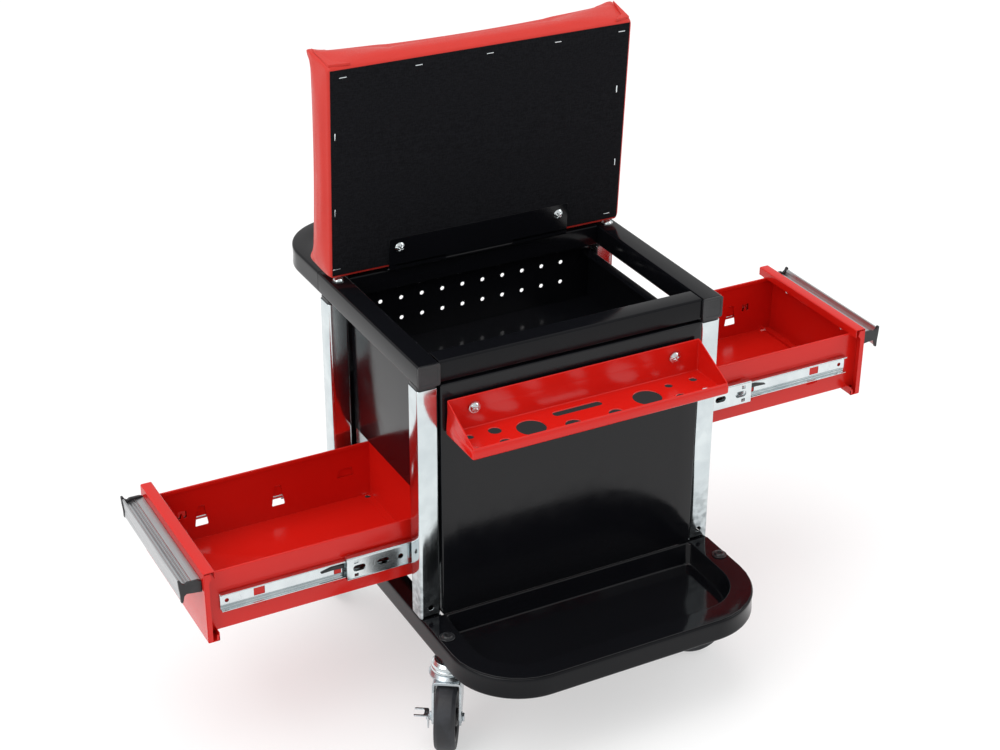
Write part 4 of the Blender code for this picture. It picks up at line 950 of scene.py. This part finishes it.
def puff(piece, cap):
    # cloth under pressure with its underside held, each point kept within cap of where it began
    remesh = piece.modifiers.new("remesh", "REMESH")
    remesh.mode, remesh.voxel_size = "VOXEL", seat["voxel"]
    bpy.context.view_layer.update()
    grown = bpy.data.meshes.new_from_object(piece.evaluated_get(bpy.context.evaluated_depsgraph_get()))
    piece.modifiers.clear()
    piece.data = grown
    before = np.zeros(len(grown.vertices) * 3)
    grown.vertices.foreach_get("co", before)
    before = before.reshape(-1, 3)
    held = before[:, 2] < seat["back"] + 0.004
    group = piece.vertex_groups.new(name="held")
    group.add(np.nonzero(held)[0].tolist(), 1.0, "REPLACE")
    cloth = piece.modifiers.new("cloth", "CLOTH")
    cloth.settings.use_pressure = True
    cloth.settings.uniform_pressure_force = 4.0
    cloth.settings.effector_weights.gravity = 0.0
    cloth.settings.vertex_group_mass = "held"
    cloth.settings.tension_stiffness = cloth.settings.compression_stiffness = 25.0
    cloth.settings.bending_stiffness = 1.5
    for number in range(seat["puffFrames"]):
        scene.frame_set(number + 1)
    after = bpy.data.meshes.new_from_object(piece.evaluated_get(bpy.context.evaluated_depsgraph_get()))
    piece.modifiers.clear()
    points = np.zeros(len(after.vertices) * 3)
    after.vertices.foreach_get("co", points)
    step = points.reshape(-1, 3) - before
    length = np.linalg.norm(step, axis=1, keepdims=True)
    step *= np.minimum(1.0, cap / np.maximum(length, 1e-9))
    grown.vertices.foreach_set("co", (before + step).ravel())
    bpy.data.meshes.remove(after)
    scene.frame_set(1)
    return np.abs(step).max()


cushion = rawObject("seatCushion", outward(cushionForm()))
print("cushion puffed by up to", round(float(puff(cushion, seat["puff"])) * 1000, 1), "mm")
points = np.zeros(len(cushion.data.vertices) * 3)
cushion.data.vertices.foreach_get("co", points)
points = points.reshape(-1, 3)
points[:, 2] = np.clip(points[:, 2], seat["back"], seat["front"] + 0.003)
cushion.data.vertices.foreach_set("co", seatSpot(points).ravel())
cushion.data.shade_smooth()
cushion.data.materials.append(finishes["vinyl"])
soften = cushion.modifiers.new("soften", "SUBSURF")
soften.levels = soften.render_levels = 1
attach(cushion, "seat")
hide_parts("seat_cushion")


def flapShape(side, tip):
    # the leathercloth's corner fold on the far side: a thin triangle from the seat face's corner to the board
    # side, lying on a face that rises by rise / thickness along w
    edge = side * (seat["half"] - 0.0024)
    depth = seat["front"] - seat["back"]
    outline = np.array([(edge + side * seat["flare"] * 0.4, 0.78), (edge, 0.06), (edge - side * tip, 0.02),
                        (edge - side * tip * 0.85, 0.07), (edge - side * 0.0060, 0.20)])
    rings = []
    for lift in (-0.0010, 0.0019):
        v = seat["head"] + seat["rise"] * outline[:, 1] + lift
        rings.append(np.stack([outline[:, 0], v, seat["back"] + depth * outline[:, 1]], -1))
    return loft(rings)


flaps = [flapShape(-1, 0.0240), flapShape(1, 0.0180)]
addPiece("seatCornerFolds", flaps, "vinyl", "seat", (), 0.0005, seatSpot)


def clothShape():
    # a dust cover in (x, v), w = back - drop * tuck + |wrinkle| * tuck, where the wrinkle is
    # 0.22 mm * sin(70 x + 30 v) * cos(55 v - 20 x) + 0.12 mm * sin(160 x - 90 v) and tuck = (edge / 4 mm)^0.5
    x = np.linspace(-1, 1, 90)[:, None] * seat["clothHalf"]
    v = np.linspace(seat["clothFoot"], seat["clothHead"], 60)[None]
    wrinkle = 0.00022 * np.sin(70 * x + 30 * v) * np.cos(55 * v - 20 * x) + 0.00012 * np.sin(160 * x - 90 * v)
    edge = np.minimum(np.minimum(seat["clothHalf"] - np.abs(x), v - seat["clothFoot"]), seat["clothHead"] - v)
    tuck = np.clip(edge / 0.004, 0, 1) ** 0.5
    w = seat["back"] - seat["clothDrop"] * tuck + np.abs(wrinkle) * tuck
    rim = np.stack(np.broadcast_arrays(x, v, w), -1)
    back = rim.copy()
    back[:, :, 2] = seat["back"] + 0.0003
    rows, columns = rim.shape[:2]
    here = np.arange(rows - 1)[:, None] * columns + np.arange(columns - 1)[None]
    quads = np.stack([here, here + 1, here + columns + 1, here + columns], -1).reshape(-1, 4)
    total = rows * columns
    border = np.concatenate([np.arange(columns), np.arange(1, rows) * columns + columns - 1,
                             (rows - 1) * columns + np.arange(columns - 1)[::-1],
                             np.arange(1, rows - 1)[::-1] * columns])
    following = np.roll(border, -1)
    skirt = np.stack([following, border, border + total, following + total], -1)
    faces = quads.tolist() + (quads[:, ::-1] + total).tolist() + skirt.tolist()
    return np.vstack([rim.reshape(-1, 3), back.reshape(-1, 3)]), faces


backing = addPiece("seatBacking", [clothShape()], "cloth", "seat", ["seat_backing"], 0.0, seatSpot)


def staple(x, v, along, length=0.0085, size=0.0007):
    # a flattened wire pressed into the cloth, 0.35 of its width deep, with its two ends turned in
    w, half = seat["back"] - 0.00030, length / 2
    line = bendLine([(-half, 0.0012), (-half, 0.0), (half, 0.0), (half, 0.0012)], 0.0007, 4)
    side = mitre(line)
    angle = np.linspace(0, 2 * math.pi, 8, endpoint=False)
    rings = np.zeros((len(line), 8, 3))
    rings[:, :, 0] = line[:, :1] + side[:, :1] * size * 0.35 * np.cos(angle)
    rings[:, :, 2] = w + line[:, 1:] + side[:, 1:] * size * 0.35 * np.cos(angle)
    rings[:, :, 1] = size * np.sin(angle)
    points, faces = loft(rings)
    if not along:
        points = points[:, [1, 0, 2]]
    return points + (x, v, 0.0), faces


stapleSpots = [   # (x, v, along x or not)
               (-0.165, 0.2355, 1), (-0.078, 0.2355, 1), (0.006, 0.2355, 1), (0.089, 0.2355, 1),
               (0.169, 0.2355, 1), (-0.1745, 0.1705, 0), (-0.1752, 0.0825, 0), (-0.1739, 0.0140, 1),
               (0.1675, 0.1675, 0),
               (0.1715, 0.0775, 0), (0.165, 0.0135, 1)]
addPiece("backingStaples", [staple(*spot) for spot in stapleSpots], "zinc", "seat", (), 0.0, seatSpot)
print("seat done")


# ---- lid hinge
hinge = {"half": 0.112, "knuckle": 0.042, "radius": 0.0026, "pin": 0.0012, "leafLow": -0.00315,
         "leafHigh": -0.00195, "steel": 0.0012, "start": 0.0032, "reach": 0.038, "root": 0.006,
         "screwX": 0.0995, "screwV": 0.0265, "gap": 0.0003}
half, knuckle = hinge["half"], hinge["knuckle"]
wing, leafLow, leafHigh = knuckle + hinge["gap"], hinge["leafLow"], hinge["leafHigh"]
leafShapes = [slab((-half, hinge["start"], leafLow), (half, hinge["reach"], leafHigh), 0.0015, 2)]
for start, end in ((-half, -wing), (wing, half)):
    leafShapes += [slab((start, 0.0, leafLow), (end, hinge["root"], leafHigh), 0.0002, 2),
                   rod(hinge["radius"], (start, 0, 0), (end, 0, 0), 24)]
addPiece("hingeLeaf.seat", leafShapes, "black", "seat", ["hinge_leaf_seat"], 0.0002, seatSpot)
low, high = box("hinge_leaf_frame")
axis = np.array([0.0, seat["hingeY"], seat["hingeZ"]])
leafTop = low[2] + hinge["steel"]
frameLeaf = [slab((-half, axis[1] + hinge["start"], low[2]), (half, high[1], leafTop), 0.0015, 2),
             slab((-knuckle, axis[1], low[2]), (knuckle, axis[1] + hinge["root"], leafTop), 0.0002, 2),
             rod(hinge["radius"], axis - (knuckle, 0, 0), axis + (knuckle, 0, 0), 24)]
addPiece("hingeLeaf.frame", frameLeaf, "black", "frame", ["hinge_leaf_frame"], 0.0002)
pinEnds = [rod(hinge["pin"], axis + (side * (half + 0.0001), 0, 0), axis + (side * (half + 0.0006), 0, 0))
           for side in (-1, 1)]
addPiece("hingePin", pinEnds, "zinc", "frame", ["hinge_pin"], 0.0)
lidScrews = [facing(screwHead(0.0058, 0.0028), (x, hinge["screwV"], leafLow), (0, 0, -1), 0.6)
             for x in (-hinge["screwX"], hinge["screwX"])]
addPiece("hingeScrews", lidScrews, "zinc", "seat", (), 0, seatSpot)
print("hinge done")


# ---- casters
casters = {"radius": 0.0375, "width": 0.023, "trail": 0.025, "head": 0.0962, "gap": 0.0265, "steel": 0.0025,
           "cup": 0.0195, "crown": 0.0215, "crownRise": 0.0045, "tyreIn": 0.0265, "spokes": 6,
           "leverGap": 0.0035, "leverSteel": 0.0015, "swivelX": 0.1705, "frontY": -0.1605, "rearY": 0.1185,
           "yaws": {"front_left": 238.0, "front_right": 170.0, "rear_left": 91.0, "rear_right": 84.0}}


def forkShapes():
    # a strip bent into an inverted U over the wheel, met with the tapering outline of its two arms
    half, r = casters["gap"] / 2 + casters["steel"], casters["radius"]
    top, trail = 2 * r + casters["crownRise"], casters["trail"]
    strip = foldedSheet([(-half, r - 0.012), (-half, top), (half, top), (half, r - 0.012)],
                        -casters["steel"], 0, -0.0215, trail + 0.0110, 0.0040, 6)
    arm = bendLine([(-0.0205, top + 0.01), (-0.0200, top - 0.014), (trail - 0.0095, r - 0.0005),
                    (trail - 0.0060, r - 0.0090), (trail + 0.0060, r - 0.0090), (trail + 0.0092, r + 0.002),
                    (trail + 0.0030, top - 0.010), (trail - 0.0060, top + 0.01)], 0.0060, 6, True)
    arms = carve(strip, [extrude(arm, 1, (-0.04, 0.04))], "INTERSECT")
    wide = casters["crown"]
    crown = turned([(0.004, top - 0.0022), (wide - 0.0015, top - 0.0022), (wide, top - 0.0012),
                    (wide, top + 0.0006), (wide - 0.0030, top + 0.0042), (wide - 0.0045, top + 0.0048),
                    (0.004, top + 0.0048)], 56)
    return [arms, crown]


def cupShapes():
    # the fixed race above the crown: two rolled rings with a groove between them, under the mounting boss
    top, cup, high = 2 * casters["radius"] + casters["crownRise"], casters["cup"], casters["head"]
    line = bendLine([(0.004, top + 0.0050), (cup - 0.0020, top + 0.0050), (cup + 0.0004, top + 0.0066),
                     (cup - 0.0006, top + 0.0088), (cup - 0.0018, top + 0.0094), (cup - 0.0004, top + 0.0112),
                     (cup - 0.0014, top + 0.0136), (cup - 0.0040, high), (0.004, high)], 0.0009, 4)
    return [turned(line, 56)]


def axleShapes():
    # a washer and a hexagon nut on each side of the fork
    reach, r, trail = casters["gap"] / 2 + casters["steel"], casters["radius"], casters["trail"]
    nut = turned([(0.0050, 0.0), (0.0052, 0.0004), (0.0052, 0.0019), (0.0046, 0.0023)], 6)
    shapes = []
    for side in (-1, 1):
        way, spot = (0, side, 0), np.array([trail, side * reach, r])
        shapes += [facing(washer(0.0030, 0.0062, 0.0008), spot, way),
                   facing(nut, spot + (0, side * 0.0008, 0), way, 0.3)]
    return shapes


def tyreShape():
    # (radius, height) of a tyre with a crowned tread, round shoulders and a bead step, closed round its bore
    half, r, bore = casters["width"] / 2, casters["radius"], casters["tyreIn"]
    upper = bendLine([(bore, half - 0.0015), (bore + 0.003, half - 0.0004), (r - 0.0035, half),
                      (r - 0.0002, half - 0.0042), (r, 0.0)], 0.0026, 6)
    line = np.vstack([upper, (upper * (1, -1))[::-1][1:]])
    return turned(line, 96, True)


def hubShape():
    # a dished disc with a boss; over its dish, ribs raised by 4 mm * clip(4 cos(spokes a) - 2.8, 0, 1)
    half, bore = casters["width"] / 2, casters["tyreIn"]
    upper = np.array([(0.0046, half + 0.0004), (0.0088, half + 0.0004), (0.0100, half - 0.0006),
                      (0.0108, half - 0.0046), (0.0140, half - 0.0062), (0.0190, half - 0.0062),
                      (0.0226, half - 0.0050), (0.0240, half - 0.0016), (0.0250, half - 0.0010),
                      (bore - 0.0001, half - 0.0012)])
    line = np.vstack([upper, (upper * (1, -1))[::-1]])
    points, faces = turned(line, 96, True)
    angle = np.arctan2(points[:, 1], points[:, 0])
    radius = np.hypot(points[:, 0], points[:, 1])
    dish = np.clip(1 - np.abs(radius - 0.0168) / 0.0058, 0, 1)
    rib = np.clip(4 * np.cos(casters["spokes"] * angle) - 2.8, 0, 1)
    points[:, 2] += np.sign(points[:, 2]) * 0.0040 * rib * np.clip(dish * 2.5, 0, 1)
    return points, faces


def leverShapes():
    # a plate beside the wheel, hung from just above the axle, with a foot tab slotted into two thin prongs
    r, trail = casters["radius"], casters["trail"]
    near = -(casters["gap"] / 2 + casters["steel"] + casters["leverGap"])
    outline = bendLine([(trail - 0.0060, r + 0.0045), (trail - 0.0058, r - 0.0080),
                        (trail - 0.0030, r - 0.0155), (trail + 0.0030, r - 0.0155),
                        (trail + 0.0058, r - 0.0080), (trail + 0.0060, r + 0.0045)], 0.0022, 5, True)
    plate = extrude(outline, 1, (near - casters["leverSteel"], near))
    tab = slab((trail - 0.0072, near - 0.0160, r + 0.0030),
               (trail + 0.0072, near - 0.0004, r + 0.0045), 0.0018, 2)
    slot = slab((trail - 0.0046, near - 0.0200, r + 0.0010),
                (trail + 0.0046, near - 0.0050, r + 0.0065), 0.0020, 2)
    pinEnd = rod(0.0046, (trail, near - 0.0030, r), (trail, near - 0.0012, r))
    return [plate, carve(tab, [slot]), pinEnd]


def wheelTurn(shape):
    return facing(shape, (casters["trail"], 0, casters["radius"]), (0, 1, 0))


forkMade, cupMade, leverMade = forkShapes() + axleShapes(), cupShapes(), leverShapes()
tyreMade, hubMade = wheelTurn(tyreShape()), wheelTurn(hubShape())
for label, yaw in casters["yaws"].items():
    turn, tag = math.radians(yaw), label.replace("_", ".")
    swivel = (casters["swivelX"] * (-1 if "left" in label else 1),
              casters["frontY"] if "front" in label else casters["rearY"], 0.0)
    spin = np.array([[math.cos(turn), math.sin(turn), 0], [-math.sin(turn), math.cos(turn), 0], [0, 0, 1.0]])
    spot, body, wheel = lambda points: points @ spin + swivel, "caster_" + label, "wheel_" + label
    addPiece("casterFork." + tag, forkMade, "fork", body, ["caster_fork_" + label], 0.0003, spot)
    addPiece("casterRace." + tag, cupMade, "zinc", body, (), 0.0, spot)
    addPiece("casterTyre." + tag, [tyreMade], "rubber", wheel, ["caster_wheel_" + label], 0.0, spot)
    addPiece("casterHub." + tag, [hubMade], "hub", wheel, (), 0.0, spot)
    if "front" in label:
        addPiece("brakeLever." + tag, leverMade, "fork", "brake_" + label, ["brake_lever_" + label], 0.0002,
                 spot)
print("casters done")

# ---- the board stays as it is, inside the cushion
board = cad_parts["seat_board"]
board.data.materials.clear()
board.data.materials.append(finishes["plywood"])

# ---- floor, light and camera
studio = {"floor": 9.0, "floorGlow": 0.52, "world": 0.74, "sun": 1.1, "sunSpread": 50, "left": 22.0,
          "right": 14.0, "boxSize": 1.6, "camera": (-0.91097, -1.66930, 1.33552), "lens": 69.714,
          "sensor": 36.0}
floorPoints = np.array([(-1, -1, 0), (1, -1, 0), (1, 1, 0), (-1, 1, 0)], float) * studio["floor"]
floor = rawObject("floor", (floorPoints, [[0, 1, 2, 3]]))
floorFinish, tree, shader = newFinish("paleFloor", (0.45, 0.45, 0.45), 0.9,
                                      Emission_Strength=studio["floorGlow"])
shader.inputs["Emission Color"].default_value = (1.0, 1.0, 1.0, 1.0)
tree.links.new(blendColours(tree, pattern(tree, "Noise", 3.0), (0.45, 0.45, 0.45), (0.46, 0.46, 0.46)),
               shader.inputs["Base Color"])
floor.data.materials.append(floorFinish)
scene.world = bpy.data.worlds.new("studio")
scene.world.use_nodes = True
sky = scene.world.node_tree.nodes["Background"]
sky.inputs["Color"].default_value = (1.0, 1.0, 1.0, 1.0)
sky.inputs["Strength"].default_value = studio["world"]


def addLight(name, kind, place, target, energy, size):
    # a light at its place whose beam runs to the target
    data = bpy.data.lights.new(name, kind)
    data.energy = energy
    if kind == "SUN":
        data.angle = size
    else:
        data.shape, data.size = "SQUARE", size
    light = bpy.data.objects.new(name, data)
    scene.collection.objects.link(light)
    away = unit(np.asarray(place, float) - np.asarray(target, float))
    side = unit(np.cross((0.0, 1.0, 0.0) if abs(away[2]) > 0.95 else (0.0, 0.0, 1.0), away))
    turn = Matrix(np.stack([side, np.cross(away, side), away], -1).tolist()).to_4x4()
    light.matrix_world = Matrix.Translation(place) @ turn


addLight("skySun", "SUN", (-0.6, 0.4, 3.0), (0, 0, 0), studio["sun"], math.radians(studio["sunSpread"]))
addLight("leftBox", "AREA", (-2.2, -0.8, 2.2), (0, 0, 0.3), studio["left"], studio["boxSize"])
addLight("rightBox", "AREA", (2.4, -0.6, 2.0), (0, 0, 0.3), studio["right"], studio["boxSize"])

cameraData = bpy.data.cameras.new("camera")
cameraData.lens, cameraData.sensor_width = studio["lens"], studio["sensor"]
camera = bpy.data.objects.new("camera", cameraData)
scene.collection.objects.link(camera)
right, up, ahead = np.array([(0.88443, -0.46665, 0.00441), (0.21643, 0.41851, 0.88205),
                             (0.41345, 0.77916, -0.47114)])
turn = Matrix(np.stack([right, up, -ahead], -1).tolist()).to_4x4()
camera.matrix_world = Matrix.Translation(studio["camera"]) @ turn
scene.camera = camera
